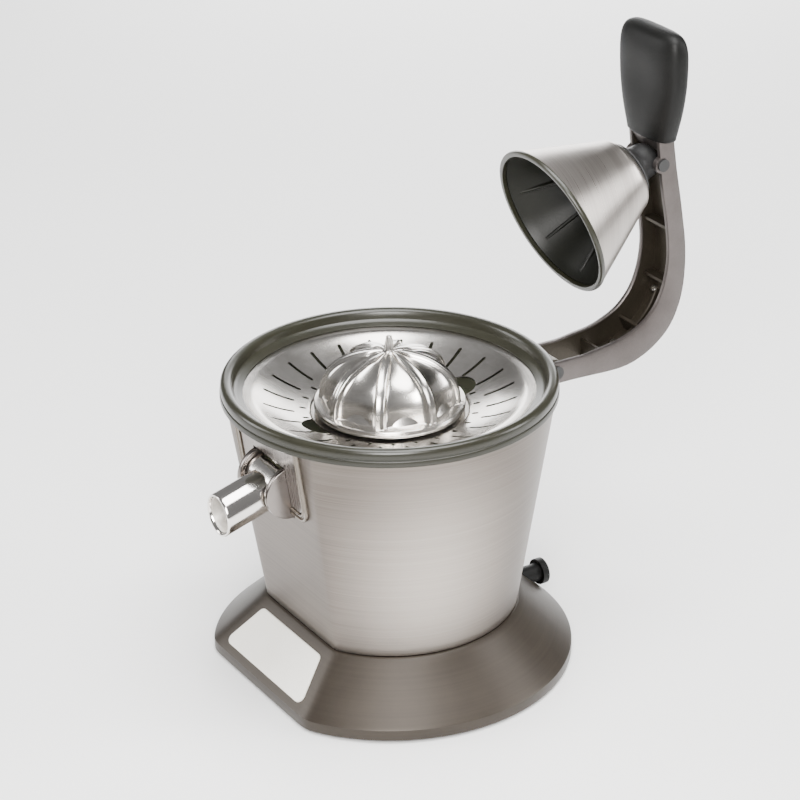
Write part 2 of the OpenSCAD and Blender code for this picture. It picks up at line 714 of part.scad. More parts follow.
// frame of the cone at rest: origin at the mouth, Z towards the small end
module on_cone() {
  translate([0, hinge_y + pivot_dy, hinge_z + pivot_dz]) rotate([cone_droop - closing_angle, 0, 0])
    translate([0, 0, -pivot_reach]) children();
}

module cone_shell() {
  r = cone_radius;
  s = cone_small_radius;
  l = cone_length;
  w = cone_wall;
  color([0.75, 0.75, 0.74]) on_cone() rotate_extrude($fn = 96) polygon([[r, 3], [s + 1.5, l - 7],
    [s - 0.5, l - 3], [s - 4, l - 0.8], [s - 8, l], [9, l], [9, l - w], [s - 8, l - w],
    [s - 4.6, l - w - 0.8], [s - 1.4, l - w - 3], [s + 0.5, l - 7], [r - w, 3]]);
}

module cone_liner() {
  r = cone_radius - cone_wall - 0.05;
  s = cone_small_radius - cone_wall - 0.05;
  l = cone_length - cone_wall - 6;
  color([0.12, 0.12, 0.09]) on_cone() union() {
    rotate_extrude($fn = 96) polygon([[r, 3.1], [s + 1.5, l], [0, l], [0, l - 1.8],
      [s - 1, l - 1.8], [r - 1.8, 3.1]]);
    for (i = [0:7]) rotate([0, 0, i * 45]) rotate([90, 0, 0]) translate([0, 0, -1])
      linear_extrude(2) polygon([[r - 3.3, 8], [s + 0.2, l - 1], [s - 4, l - 1], [r - 6.5, 13]]);
  }
}

module cone_rim() {
  r = cone_radius;
  color([0.07, 0.07, 0.06]) on_cone() rotate_extrude($fn = 96) polygon([[r - 2.8, 0],
    [r + 0.2, 0], [r + 0.6, 1], [r + 0.6, 2.4], [r, 2.95], [r - 2.8, 2.95]]);
}

module cone_boss() {
  l = cone_length;
  color([0.1, 0.1, 0.1]) difference() {
    union() {
      on_cone() translate([0, 0, l + 0.05]) cylinder(h = 12, r = 9);
      on_cone() translate([0, 0, l - 4]) cylinder(h = 6, r = 8.8);
      translate([0, hinge_y, hinge_z]) rod_x(pivot_dy, pivot_dz, 6, 2 * inner_half - 1);
    }
    translate([0, hinge_y, hinge_z]) rod_x(pivot_dy, pivot_dz, 2.5 + rc, 60);
  }
}

base_skirt();
base_plate();
rubber_feet();
base_screws();
badge_plate();
cord_gland();
body_shell();
inner_frame();
motor_can();
gearbox_housing();
gearbox_cover();
gearbox_screws();
idler_pin();
lower_bush();
upper_bush();
start_switch();
start_plunger();
juice_bowl();
shaft_seal();
top_ring();
strainer();
hinge_bracket();
bracket_screws();
spout_frame();
spout_panel();
spout_housing();
spout();
reamer();
reamer_hub();
drive_shaft();
output_gear();
idler_gear();
motor_rotor();
motor_pinion();
lever_arm();
hinge_pin();
handle_grip();
handle_screws();
cone_pin();
cone_shell();
cone_liner();
cone_rim();
cone_boss();
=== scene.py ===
import bpy, bmesh, json
from math import sin, cos, tan, pi, radians, sqrt, hypot, atan, atan2, acos, asin, log, exp
from mathutils import Vector, Matrix

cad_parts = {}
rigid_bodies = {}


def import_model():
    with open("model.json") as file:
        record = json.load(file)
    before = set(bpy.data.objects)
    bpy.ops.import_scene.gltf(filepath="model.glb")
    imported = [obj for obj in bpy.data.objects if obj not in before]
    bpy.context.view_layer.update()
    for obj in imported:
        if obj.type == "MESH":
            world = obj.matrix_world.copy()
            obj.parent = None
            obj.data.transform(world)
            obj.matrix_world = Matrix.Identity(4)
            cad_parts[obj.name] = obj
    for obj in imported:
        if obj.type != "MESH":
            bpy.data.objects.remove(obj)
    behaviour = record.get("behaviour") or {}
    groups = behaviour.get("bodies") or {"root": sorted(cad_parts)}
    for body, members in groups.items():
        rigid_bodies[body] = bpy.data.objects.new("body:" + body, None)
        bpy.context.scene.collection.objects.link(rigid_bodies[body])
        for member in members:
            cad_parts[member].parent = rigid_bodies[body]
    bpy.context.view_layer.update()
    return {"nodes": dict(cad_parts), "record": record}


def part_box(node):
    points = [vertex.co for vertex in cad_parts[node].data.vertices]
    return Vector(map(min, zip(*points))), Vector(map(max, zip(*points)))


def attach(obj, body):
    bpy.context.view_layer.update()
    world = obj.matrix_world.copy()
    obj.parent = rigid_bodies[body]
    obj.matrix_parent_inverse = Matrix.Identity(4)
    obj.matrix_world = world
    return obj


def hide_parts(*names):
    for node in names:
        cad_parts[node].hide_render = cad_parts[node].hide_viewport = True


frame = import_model()
RECORD = frame["record"]


def box(node):
    """Corners of a CAD node in millimetres."""
    lo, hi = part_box(node)
    return [c * 1000 for c in lo], [c * 1000 for c in hi]


def joint_at(name):
    return next(j for j in RECORD["behaviour"]["joints"] if j["name"] == name)


# ---------------------------------------------------------------- camera
az, el, roll = radians(57.97), radians(26.06), radians(-0.63)
LENS, SENSOR = 129.5, 36                    # millimetres
TO_RIGHT, TO_TOP, AWAY = 0.0045, 0.1555, 1.8152   # metres from the part's origin
back = Vector((sin(az) * cos(el), -cos(az) * cos(el), sin(el)))
side = Vector((cos(az), sin(az), 0))
over = back.cross(side)
right = side * cos(roll) + over * sin(roll)
up = over * cos(roll) - side * sin(roll)
cam = bpy.data.objects.new("camera", bpy.data.cameras.new("camera"))
bpy.context.scene.collection.objects.link(cam)
cam.data.lens, cam.data.sensor_width = LENS, SENSOR
cam.data.clip_start, cam.data.clip_end = 0.1, 30
place = right * TO_RIGHT + up * TO_TOP + back * AWAY
cam.matrix_world = Matrix((
    (right.x, up.x, back.x, place.x),
    (right.y, up.y, back.y, place.y),
    (right.z, up.z, back.z, place.z),
    (0, 0, 0, 1)))
bpy.context.scene.camera = cam


# ---------------------------------------------------------------- materials
def srgb(r, g, b):
    def lin(c):
        c = c / 255
        return c / 12.92 if c < 0.04 else ((c + 0.055) / 1.055) ** 2.4
    return lin(r), lin(g), lin(b), 1.0


class Sock:
    """A shader value that can be added and multiplied."""

    def __init__(self, tree, out):
        self.tree, self.out = tree, out

    def op(self, kind, a, b):
        n = self.tree.nodes.new("ShaderNodeMath")
        n.operation = kind
        for i, v in enumerate((a, b)):
            if isinstance(v, Sock):
                self.tree.links.new(v.out, n.inputs[i])
            else:
                n.inputs[i].default_value = v
        return Sock(self.tree, n.outputs[0])

    def __add__(self, o): return self.op("ADD", self, o)
    def __radd__(self, o): return self.op("ADD", o, self)
    def __mul__(self, o): return self.op("MULTIPLY", self, o)
    def __rmul__(self, o): return self.op("MULTIPLY", o, self)


class Finish:
    """One material: a principled surface and the nodes that vary it."""

    def __init__(self, name, **fixed):
        self.m = bpy.data.materials.new(name)
        self.m.use_nodes = True
        self.tree = self.m.node_tree
        self.surface = self.tree.nodes["Principled BSDF"]
        for key, value in fixed.items():
            self.surface.inputs[key.replace("_", " ")].default_value = value
        self.co = self.node("ShaderNodeTexCoord", out="Object")

    def node(self, kind, settings=None, inputs=None, out=0):
        n = self.tree.nodes.new(kind)
        for key, value in (settings or {}).items():
            setattr(n, key, value)
        for key, value in (inputs or {}).items():
            if isinstance(value, Sock):
                self.tree.links.new(value.out, n.inputs[key])
            else:
                n.inputs[key].default_value = value
        return Sock(self.tree, n.outputs[out])

    def scaled(self, by):
        return self.node("ShaderNodeVectorMath", {"operation": "MULTIPLY"}, {0: self.co, 1: by})

    def noise(self, by, detail, rough, lift):
        """Noise with cells 1/by metres across, its contrast lifted round the middle."""
        n = self.node("ShaderNodeTexNoise", None, {
            "Vector": self.scaled(by), "Scale": 1.0, "Detail": detail, "Roughness": rough})
        return self.node("ShaderNodeMapRange", None, {
            "Value": n, "From Min": 0.5 - 0.5 / lift, "From Max": 0.5 + 0.5 / lift})

    def highlight_patch_mask(self, centre, reach):
        """Mask for a painted highlight, a soft bright patch of light: 1 in the middle, falling off with
        distance.
        """
        d = self.node("ShaderNodeVectorMath", {"operation": "SUBTRACT"}, {0: self.co, 1: centre})
        d = self.node("ShaderNodeVectorMath", {"operation": "DIVIDE"}, {0: d, 1: reach})
        d = self.node("ShaderNodeVectorMath", {"operation": "LENGTH"}, {0: d}, out=1)
        return self.node("ShaderNodeMapRange", {"interpolation_type": "SMOOTHSTEP"},
                         {"Value": d, "From Min": 1.0, "From Max": 0.0})

    def mix(self, fac, a, b):
        """Colour between a and b; the node's colour sockets are numbers 6, 7 and 2."""
        return self.node("ShaderNodeMix", {"data_type": "RGBA"}, {0: fac, 6: a, 7: b}, out=2)

    def bump(self, height, strength, distance):
        return self.node("ShaderNodeBump", None, {
            "Height": height, "Strength": strength, "Distance": distance})

    def feed(self, **links):
        for key, value in links.items():
            self.tree.links.new(value.out, self.surface.inputs[key.replace("_", " ")])
        return self.m


def brushed(name, dark, light, rough, along, across, painted_highlight=None):
    """Steel brushed along one direction: fine streaks, soft blotches and a faint relief, and optionally a
    painted highlight, a soft bright patch of light in its colour.
    """
    f = Finish(name, Metallic=1.0)
    fine = f.noise(along, 4, 0.7, 1.6)
    wide = f.noise(across, 2, 0.5, 1.4)
    soft = f.noise((9, 9, 9), 2, 0.5, 1.8)
    tone = fine * 0.45 + wide * 0.25 + soft * 0.3
    # painted highlight: a soft bright patch of light mixed into the steel's colour, strongest at its centre
    if painted_highlight:
        tone = tone * 0.45 + f.highlight_patch_mask(*painted_highlight) * 0.75
    return f.feed(
        Base_Color=f.mix(tone, srgb(*dark), srgb(*light)),
        Roughness=rough + fine * 0.10 + soft * 0.05,
        Normal=f.bump(fine + wide * 0.5, 0.06, 0.0004))


def polished(name, dark, light, rough, smear=(26, 26, 90), dent=0.03):
    """Bright metal with faint smears and polishing lines."""
    f = Finish(name, Metallic=1.0)
    soft = f.noise((14, 14, 14), 3, 0.5, 1.8)
    line = f.noise(smear, 4, 0.65, 1.6)
    speck = f.noise((420, 420, 420), 2, 0.6, 2.0)
    return f.feed(
        Base_Color=f.mix(soft * 0.6 + line * 0.4, srgb(*dark), srgb(*light)),
        Roughness=rough + soft * 0.06 + speck * 0.03,
        Normal=f.bump(line * 0.7 + speck * 0.3, dent, 0.0004))


def moulded(name, dark, light, rough, grain, dent, metal=0.0, coat=0.0, streak=None, gloss=0.5):
    """Moulded, cast or painted surface with fine grain, worn patches and a little colour change."""
    f = Finish(name, Metallic=metal, Coat_Weight=coat, Coat_Roughness=0.12, Specular_IOR_Level=gloss)
    fine = f.noise((grain, grain, grain), 2, 0.6, 1.8)
    soft = f.noise((16, 16, 16), 4, 0.55, 1.9)
    worn = f.noise((60, 60, 60), 5, 0.6, 2.2)
    tone = soft * 0.5 + worn * 0.3 + fine * 0.2
    relief = fine
    if streak:
        lines = f.noise(streak, 3, 0.6, 1.6)
        tone = tone * 0.6 + lines * 0.4
        relief = fine * 0.4 + lines * 0.6
    return f.feed(
        Base_Color=f.mix(tone, srgb(*dark), srgb(*light)),
        Roughness=rough + soft * 0.07 + fine * 0.05,
        Normal=f.bump(relief, dent, 0.0003))


PAINT = {
    # the body's steel has a painted highlight: a soft bright patch of light low on the side that faces the
    # camera
    "steel_body": brushed("brushed body steel with painted highlight", (70, 63, 58), (176, 168, 160), 0.33,
                          (6, 6, 2600), (3, 3, 700),
                          painted_highlight=((0.085, -0.025, 0.085), (0.075, 0.075, 0.13))),
    "steel_polished": polished("polished steel", (160, 154, 147), (238, 235, 230), 0.17,
                               smear=(60, 60, 200)),
    "chrome_spout": polished("bright chrome", (205, 200, 194), (232, 229, 225), 0.07, dent=0.02),
    "ring_black": moulded("olive black gloss", (24, 24, 16), (42, 41, 31), 0.25, 700, 0.05,
                          coat=0.1, gloss=0.4),
    "base_taupe": moulded("grey brown satin", (41, 35, 29), (60, 53, 45), 0.34, 1100, 0.08,
                          metal=0.45, streak=(6, 6, 900)),
    "black_plastic": moulded("black plastic", (24, 24, 24), (38, 38, 38), 0.45, 1000, 0.2),
    "rubber_black": moulded("black rubber", (2, 2, 1), (7, 7, 6), 0.44, 1300, 0.22, gloss=0.22),
    "badge_white": moulded("cream enamel", (232, 228, 217), (246, 243, 235), 0.30, 800, 0.05,
                           coat=0.3),
    "arm_cast": moulded("satin die casting", (74, 69, 67), (104, 98, 96), 0.34, 1400, 0.16,
                        metal=0.85),
    "bracket_grey": moulded("grey casting", (88, 84, 76), (112, 107, 98), 0.38, 1100, 0.18,
                            metal=0.6),
    "panel_steel": brushed("satin panel steel", (98, 92, 88), (146, 140, 136), 0.20,
                           (1100, 8, 8), (160, 4, 4)),
    "screw_steel": polished("zinc", (150, 148, 144), (190, 188, 184), 0.24),
    "shaft_steel": brushed("ground steel", (96, 93, 88), (140, 137, 131), 0.26,
                           (900, 900, 40), (90, 90, 10)),
    "gear_nylon": moulded("nylon", (214, 208, 190), (232, 227, 212), 0.45, 900, 0.1),
    "bronze": moulded("sintered bronze", (150, 112, 66), (178, 140, 90), 0.4, 1500, 0.2, metal=0.9),
    "seal_red": moulded("red silicone", (132, 40, 28), (152, 54, 38), 0.5, 1000, 0.1),
    "copper_drum": moulded("varnished copper", (120, 72, 40), (156, 98, 58), 0.35, 900, 0.2,
                           metal=0.7),
}
channel_dark = moulded("dark inside of the casting", (36, 31, 24), (60, 54, 44), 0.42, 900, 0.25,
                       metal=0.55)
cone_steel = brushed("brushed cone steel", (132, 125, 120), (206, 200, 194), 0.24,
                     (5, 1400, 5), (2, 220, 2))
liner_olive = moulded("olive moulding", (6, 7, 4), (22, 22, 14), 0.36, 700, 0.10, gloss=0.25)
rail_brown = moulded("brown steel rail", (74, 67, 58), (132, 124, 114), 0.16, 700, 0.05,
                     metal=0.85, coat=0.3)
# painted light: a much lighter copy of the ring's olive black for the juice bowl, standing in for light that
# does not reach it inside the housing
bowl_olive_painted_light = moulded("olive bowl painted lighter", (96, 98, 80), (120, 121, 102), 0.5, 700, 0.1)
slot_of = {s["node"]: s["material_slot"] for s in RECORD["subparts"]}


# ---------------------------------------------------------------- mesh helpers
def make(name, verts, faces, mats, sharp=32.0, marks=None):
    """A closed mesh from points in millimetres, normals outward."""
    me = bpy.data.meshes.new(name)
    me.from_pydata([(x / 1000, y / 1000, z / 1000) for x, y, z in verts], [], faces)
    for m in mats if isinstance(mats, (list, tuple)) else [mats]:
        me.materials.append(m)
    if marks:
        for p, k in zip(me.polygons, marks):
            p.material_index = k
    bm = bmesh.new()
    bm.from_mesh(me)
    bmesh.ops.remove_doubles(bm, verts=bm.verts, dist=2e-6)
    bmesh.ops.dissolve_degenerate(bm, dist=1e-7, edges=bm.edges)
    bmesh.ops.recalc_face_normals(bm, faces=bm.faces)
    bm.to_mesh(me)
    bm.free()
    ob = bpy.data.objects.new(name, me)
    bpy.context.scene.collection.objects.link(ob)
    smooth(ob, sharp)
    return ob


def smooth(ob, sharp=32.0):
    ob.data.shade_smooth()
    ob.data.set_sharp_from_angle(angle=radians(sharp))


def grid(rows, closed=False):
    """Quads between rings of points; closed joins the last ring to the first, otherwise they are capped."""
    n = len(rows[0])
    verts = [p for r in rows for p in r]
    faces = []
    last = len(rows) if closed else len(rows) - 1
    for i in range(last):
        a, b = i * n, ((i + 1) % len(rows)) * n
        for j in range(n):
            k = (j + 1) % n
            faces.append((a + j, a + k, b + k, b + j))
    if not closed:
        for i in (0, len(rows) - 1):
            r = rows[i]
            if max(abs(p[0] - r[0][0]) + abs(p[1] - r[0][1]) + abs(p[2] - r[0][2]) for p in r) > 1e-6:
                faces.append(tuple(range(i * n, i * n + n)))
    return verts, faces


def join(*parts):
    """Several (points, faces) pairs as one."""
    verts, faces = [], []
    for v, f in parts:
        k = len(verts)
        verts += v
        faces += [tuple(i + k for i in q) for q in f]
    return verts, faces


def circle(r, n):
    """Points round a circle as (cosine side, sine side) pairs."""
    return [(r * cos(2 * pi * j / n), r * sin(2 * pi * j / n)) for j in range(n)]


def lathe(profile, n, place=None, closed=True):
    """A turned form; profile is (radius, height) pairs, and place moves each point."""
    rows = []
    for r, z in profile:
        row = [(x, y, z) for x, y in circle(r, n)]
        rows.append([place(p) for p in row] if place else row)
    return grid(rows, closed=closed)


def curve(points, steps):
    """Catmull-Rom curve through points."""
    out = []
    for i in range(len(points) - 1):
        a, b = points[max(i - 1, 0)], points[i]
        c, d = points[i + 1], points[min(i + 2, len(points) - 1)]
        for k in range(steps):
            t = k / steps
            out.append(tuple(
                0.5 * (2 * b[m] + (c[m] - a[m]) * t
                       + (2 * a[m] - 5 * b[m] + 4 * c[m] - d[m]) * t * t
                       + (3 * b[m] - a[m] - 3 * c[m] + d[m]) * t ** 3) for m in range(len(b))))
    return out + [tuple(points[-1])]


def bake(ob):
    """Puts the result of an object's modifiers into its mesh."""
    dg = bpy.context.evaluated_depsgraph_get()
    me = bpy.data.meshes.new_from_object(ob.evaluated_get(dg), depsgraph=dg)
    ob.modifiers.clear()
    old, ob.data = ob.data, me
    bpy.data.meshes.remove(old)
    return ob


def cut(ob, *tools):
    """Takes the tools' solids out of ob, then removes them."""
    for tool in tools:
        m = ob.modifiers.new("cut", "BOOLEAN")
        m.object, m.operation, m.solver = tool, "DIFFERENCE", "EXACT"
    bpy.context.view_layer.update()
    bake(ob)
    for tool in tools:
        bpy.data.objects.remove(tool)
    return ob


def bevel(ob, width, segments):
    m = ob.modifiers.new("edge", "BEVEL")
    m.width, m.segments = width / 1000, segments
    m.limit_method, m.angle_limit = "ANGLE", radians(35)
    return bake(ob)


def done(ob, body, slot, *nodes):
    """Hands a finished piece over: hides the CAD nodes it replaces and attaches it to its body; slot is not
    used.
    """
    if nodes:
        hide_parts(*nodes)
    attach(ob, body)
    return ob


def block(name, a, b):
    """A box between two corners."""
    v = [(x, y, z) for x in (a[0], b[0]) for y in (a[1], b[1]) for z in (a[2], b[2])]
    f = [(0, 1, 3, 2), (4, 6, 7, 5), (0, 4, 5, 1), (2, 3, 7, 6), (0, 2, 6, 4), (1, 5, 7, 3)]
    return make(name, v, f, [])


def prism_faces(n):
    """Two ends and n sides, for n points of one end followed by n of the other."""
    ends = [tuple(range(n)), tuple(range(n, 2 * n))]
    return ends + [(i, (i + 1) % n, n + (i + 1) % n, n + i) for i in range(n)]


def prism(outline, x0, x1, at=(0, 0)):
    """A plate in the YZ plane between two X positions."""
    v = [(x, at[0] + y, at[1] + z) for x in (x0, x1) for y, z in outline]
    return v, prism_faces(len(outline))


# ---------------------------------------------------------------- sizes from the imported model
ring_lo, ring_hi = box("top_ring")
ring_r, ring_top, ring_bot = ring_hi[0], ring_hi[2], ring_lo[2]
base_lo, base_hi = box("base_skirt")
base_r, base_flat = base_hi[0], -base_lo[1]
body_lo, body_hi = box("body_shell")
seam_z, body_r, top_flat = body_lo[2], body_hi[0], -body_lo[1]
seam_r, seam_flat = 78.3, 66.7      # the body's radius and flat where it meets the base
band = 9.0                          # height of the base's upright edge
body_h = ring_bot - seam_z
lean = atan((top_flat - seam_flat) / body_h)
ream_lo, ream_hi = box("reamer")
ream_r, flange_z, tip_z = ream_hi[0], ream_lo[2], ream_hi[2]
flange_top = flange_z + 4.5
tilt = joint_at("spout_tilt")["pos_m"]
spout_y, spout_z = tilt[1] * 1000, tilt[2] * 1000
hinge = joint_at("lever_hinge")["pos_m"]
hinge_y, hinge_z = hinge[1] * 1000, hinge[2] * 1000
swivel = joint_at("cone_swivel")["pos_m"]
pivot_y, pivot_z = swivel[1] * 1000, swivel[2] * 1000
cone_a = radians(70)                # the open cone's axis, from upright
cone_len = 62.0
cone_reach = cone_len + 16          # from the cone's pin to its mouth
FRONT_STEPS, BACK_STEPS = 14, 60    # points of a level, from the middle of the flat to the back


def d_ring(radius, flat, z, soft=0.9):
    """One level of the round form with a flat front; the two corners are softened."""
    c = acos(min(flat / radius, 1))
    angles = [c * (1 - (1 - j / FRONT_STEPS) ** 1.8) for j in range(FRONT_STEPS)]
    angles += [c + (pi - c) * (j / BACK_STEPS) ** 1.35 for j in range(BACK_STEPS + 1)]
    half = []
    for a in angles:
        r = radius
        if a < 1.45:    # further round, the flat's plane is far away
            f = flat / cos(a)
            m = min(radius, f)
            r = m - soft * log(exp(-(radius - m) / soft) + exp(-(f - m) / soft))
        half.append((r * sin(a), -r * cos(a), z))
    return half + [(-x, y, z) for x, y, z in half[-2:0:-1]]


def front(x, s, t):
    """Point on the sloping front: x across, s up the slope from the seam, t outwards."""
    return (x, -seam_flat - s * sin(lean) - t * cos(lean), seam_z + s * cos(lean) - t * sin(lean))


# ---------------------------------------------------------------- body
def at_body(z, d=0.0):
    """The body's level at height z, d inside its surface."""
    k = (z - seam_z) / body_h
    return d_ring(seam_r + (body_r - seam_r) * k - d, seam_flat + (top_flat - seam_flat) * k - d, z)


wall = 1.2
levels = [seam_z + body_h * i / 24 for i in range(1, 24)] + [ring_bot - 0.02]
rows = [at_body(seam_z + 0.02, 0.5), at_body(seam_z + 0.15, 0.15)]
rows += [at_body(z) for z in [seam_z + 0.5] + levels]
rows += [at_body(z, wall) for z in reversed([seam_z + 0.02] + levels)]
shell = make("body_sleeve", *grid(rows, closed=True), PAINT["steel_body"], 24)


def spout_gap(name):
    """The opening that the spout's housing stands in."""
    return block(name, (-18.6, -130, spout_z - 17.6), (18.6, -40, spout_z + 17.6))


done(cut(shell, spout_gap("gap1")), "housing", "steel_body", "body_shell")
smooth(shell, 24)

# ---------------------------------------------------------------- base
def at_base(z, d):
    """The base's level at height z, d inside its surface."""
    k = min(max((z - band) / (seam_z - band), 0), 1)
    return d_ring(base_r - 0.05 + (seam_r + 0.7 - base_r) * k - d,
                  base_flat - 0.05 + (seam_flat + 0.5 - base_flat) * k - d, z, soft=1.4)


# from the hidden collar under the body, down the slope, round the foot and up inside
edge_in = [(36.0, 9), (seam_z - 0.55, 2.2), (seam_z - 0.35, 0.9), (seam_z - 0.6, 0.25), (seam_z - 1.2, 0.02)]
slope_down = [(band + 1.2 + (seam_z - band - 2.6) * (1 - i / 14), 0) for i in range(1, 15)]
foot = [(band + 0.5, 0.02), (band - 0.1, 0.02), (band - 0.8, 0), (3.0, 0), (2.1, 0.25), (1.65, 0.8),
        (1.52, 1.6), (1.52, 2.9), (6.0, 3.1), (20, 4)]
rows = [at_base(z, d) for z, d in edge_in + slope_down + foot]
base = make("flared_base", *grid(rows, closed=True), PAINT["base_taupe"], 28)
done(base, "housing", "base_taupe", "base_skirt")


# ---------------------------------------------------------------- blank plate
def on_base(x, s, t):
    """Point on the base's sloping front: x across, s up the slope from the band, t outwards."""
    a = atan((base_flat - seam_flat) / (seam_z - band))
    return (x, -base_flat + s * sin(a) - t * cos(a), band + s * cos(a) + t * sin(a))


def rounded(corners, radius, n=7):
    """A polygon with its corners rounded by arcs of n steps."""
    out = []
    m = len(corners)
    for i in range(m):
        p, a, b = (Vector(corners[k % m]) for k in (i, i - 1, i + 1))
        u, v = (a - p).normalized(), (b - p).normalized()
        half = acos(max(-1, min(1, u.dot(v)))) / 2
        d = radius / tan(half)
        c = p + (u + v).normalized() * (radius / sin(half))
        q0, q1 = p + u * d - c, p + v * d - c
        a0 = atan2(q0.y, q0.x)
        da = (atan2(q1.y, q1.x) - a0 + pi) % (2 * pi) - pi
        turns = [a0 + da * k / n for k in range(n + 1)]
        out += [(c.x + radius * cos(a), c.y + radius * sin(a)) for a in turns]
    return out


def inset(corners, d):
    """A polygon moved in by d on every side."""
    m = len(corners)
    out = []
    for i in range(m):
        p, a, b = (Vector(corners[k % m]) for k in (i, i - 1, i + 1))
        u, v = (a - p).normalized(), (b - p).normalized()
        w = (u + v).normalized()
        half = acos(max(-1, min(1, u.dot(v)))) / 2
        out.append(tuple(p + w * (d / sin(half))))
    return out


def plate(corners, radius, levels, place):
    """A thin plate with rounded corners; levels are (inset, height) pairs."""
    rows = []
    for d, t in levels:
        rows.append([place(x, s, t) for x, s in rounded(inset(corners, d), max(radius - d, 0.3))])
    return grid(rows)


badge = [(-46, 5), (46, 5), (34.6, 36), (-34.6, 36)]
badge_edge = [(0, -0.3), (0, 0.7), (0.15, 1.0), (0.5, 1.18), (1.1, 1.2), (9, 1.2)]
ob = make("blank_plate", *plate(badge, 4.2, badge_edge, on_base), PAINT["badge_white"], 40)
done(ob, "housing", "badge_white", "badge_plate")

# ---------------------------------------------------------------- ring
r, b, t = ring_r, ring_bot, ring_top
skirt = [(r - 1.5, b), (r - 0.35, b + 0.1), (r - 0.02, b + 0.5), (r - 0.02, b + 3.2)]
groove = [(r - 0.25, b + 3.7), (r - 0.7, b + 4.0), (r - 0.75, b + 4.6), (r - 0.4, b + 5.0)]
crown = [(r - 0.35, b + 5.8), (r - 0.55, t - 2.3), (r - 1.1, t - 1.1), (r - 2.0, t - 0.35), (r - 3.2, t),
         (r - 4.6, t), (r - 6.0, t - 0.35), (r - 7.0, t - 1.1), (r - 7.7, t - 2.2)]
inner_lip = [(r - 8.1, b + 6.2), (r - 8.4, b + 4.9), (r - 9.2, b + 4.1), (r - 11, b + 3.5),
             (89.2, b + 2.8), (88.6, b + 2.55), (88.5, b + 2.2), (88.8, b + 1.97)]
strainer_seat = [(93.45, b + 1.97), (93.45, b + 1), (84.5, b + 1), (84.5, b), (92, b)]
outline = skirt + groove + crown + inner_lip + strainer_seat
ring = make("top_ring_gloss", *lathe(outline, 180), PAINT["ring_black"], 28)
done(ring, "housing", "ring_black", "top_ring")

# ---------------------------------------------------------------- strainer
rim = ring_bot + 1
dish = curve([(93.4, rim + 0.9), (88.5, rim + 0.9), (85, rim + 0.75), (82, rim + 0.15), (76, rim - 2.9),
              (71, rim - 5.2), (66, rim - 7.2), (61, rim - 8.8), (56, rim - 10.2), (52, rim - 11.1),
              (49.6, rim - 11.6)], 4)
dish_foot = dish[-1][0]
floor_line = [(48.6, rim - 12.0), (48.1, rim - 12.6), (47.8, rim - 13.1), (44, rim - 13.1),
              (14, rim - 13.1)]
upper = dish + floor_line
lower = [(a, c - 0.9) for a, c in upper]
sheet = make("strainer_dish", *lathe(upper + lower[::-1], 192), PAINT["steel_polished"], 30)


def half_window(k):
    """Tool for a half-round window that leans on the reamer's well; k is its side, 1 or -1."""
    n, rw, ri = 24, 11.5, ream_r + 2.7
    pts = []
    for i in range(n + 1):
        a = pi * i / n
        x, y = rw * cos(a), ri + rw * sin(a)
        pts.append((x, k * (y - (ri - sqrt(ri * ri - x * x)) * (1 - sin(a)))))
    for i in range(1, n):
        x = rw * cos(pi - pi * i / n)
        pts.append((x, k * sqrt(ri * ri - x ** 2)))
    v = [(x, y, z) for z in (150, 190) for x, y in pts]
    return make("window", v, prism_faces(len(pts)), [])


class Nodes:
    """A small geometry-node tree writer."""

    def __init__(self, name, inputs):
        self.tree = bpy.data.node_groups.new(name, "GeometryNodeTree")
        io = self.tree.interface
        io.new_socket(name="Geometry", in_out="OUTPUT", socket_type="NodeSocketGeometry")
        io.new_socket(name="Geometry", in_out="INPUT", socket_type="NodeSocketGeometry")
        self.ids = {}
        for key, (kind, value) in inputs.items():
            s = io.new_socket(name=key, in_out="INPUT", socket_type="NodeSocket" + kind)
            if kind != "Material":
                s.default_value = value
            self.ids[key] = s.identifier
        self.inp = self.tree.nodes.new("NodeGroupInput")
        self.out = self.tree.nodes.new("NodeGroupOutput")

    def __getitem__(self, key):
        return self.inp.outputs[key]

    def node(self, kind, settings=None, inputs=None, out=0):
        n = self.tree.nodes.new(kind)
        for key, value in (settings or {}).items():
            setattr(n, key, value)
        for key, value in (inputs or {}).items():
            for v in value if isinstance(value, list) else [value]:
                if isinstance(v, bpy.types.NodeSocket):
                    self.tree.links.new(v, n.inputs[key])
                else:
                    n.inputs[key].default_value = v
        return n.outputs[out]

    def math(self, kind, a, b=0.0):
        return self.node("ShaderNodeMath", {"operation": kind}, {0: a, 1: b})

    def around(self, shape, count, start):
        """count copies of shape round the Z axis, realised."""
        line = self.node("GeometryNodeMeshLine", None, {"Count": count, "Offset": (0, 0, 0)})
        step = self.math("DIVIDE", 2 * pi, count)
        turn = self.math("ADD", self.math("MULTIPLY", self.node("GeometryNodeInputIndex"), step), start)
        rot = self.node("ShaderNodeCombineXYZ", None, {"Z": turn})
        inst = self.node("GeometryNodeInstanceOnPoints", None,
                         {"Points": line, "Instance": shape, "Rotation": rot})
        return self.node("GeometryNodeRealizeInstances", None, {0: inst})

    def end(self, geometry):
        real = self.node("GeometryNodeRealizeInstances", None, {0: geometry})
        painted = self.node("GeometryNodeSetMaterial", None,
                            {"Geometry": real, "Material": self["Material"]})
        self.tree.links.new(painted, self.out.inputs[0])

    def apply(self, ob, **values):
        m = ob.modifiers.new("pattern", "NODES")
        m.node_group = self.tree
        for key, value in values.items():
            m[self.ids[key.replace("_", " ")]] = value
        return bake(ob)


slots = Nodes("slotted sheet", {
    "Count": ("Int", 24), "Width": ("Float", 0.0022),
    "Long from": ("Float", 0.058), "Long to": ("Float", 0.077),
    "Short from": ("Float", 0.0505), "Short to": ("Float", 0.0548),
    "Middle": ("Float", 0.172), "Seed": ("Int", 7), "Material": ("Material", None)})


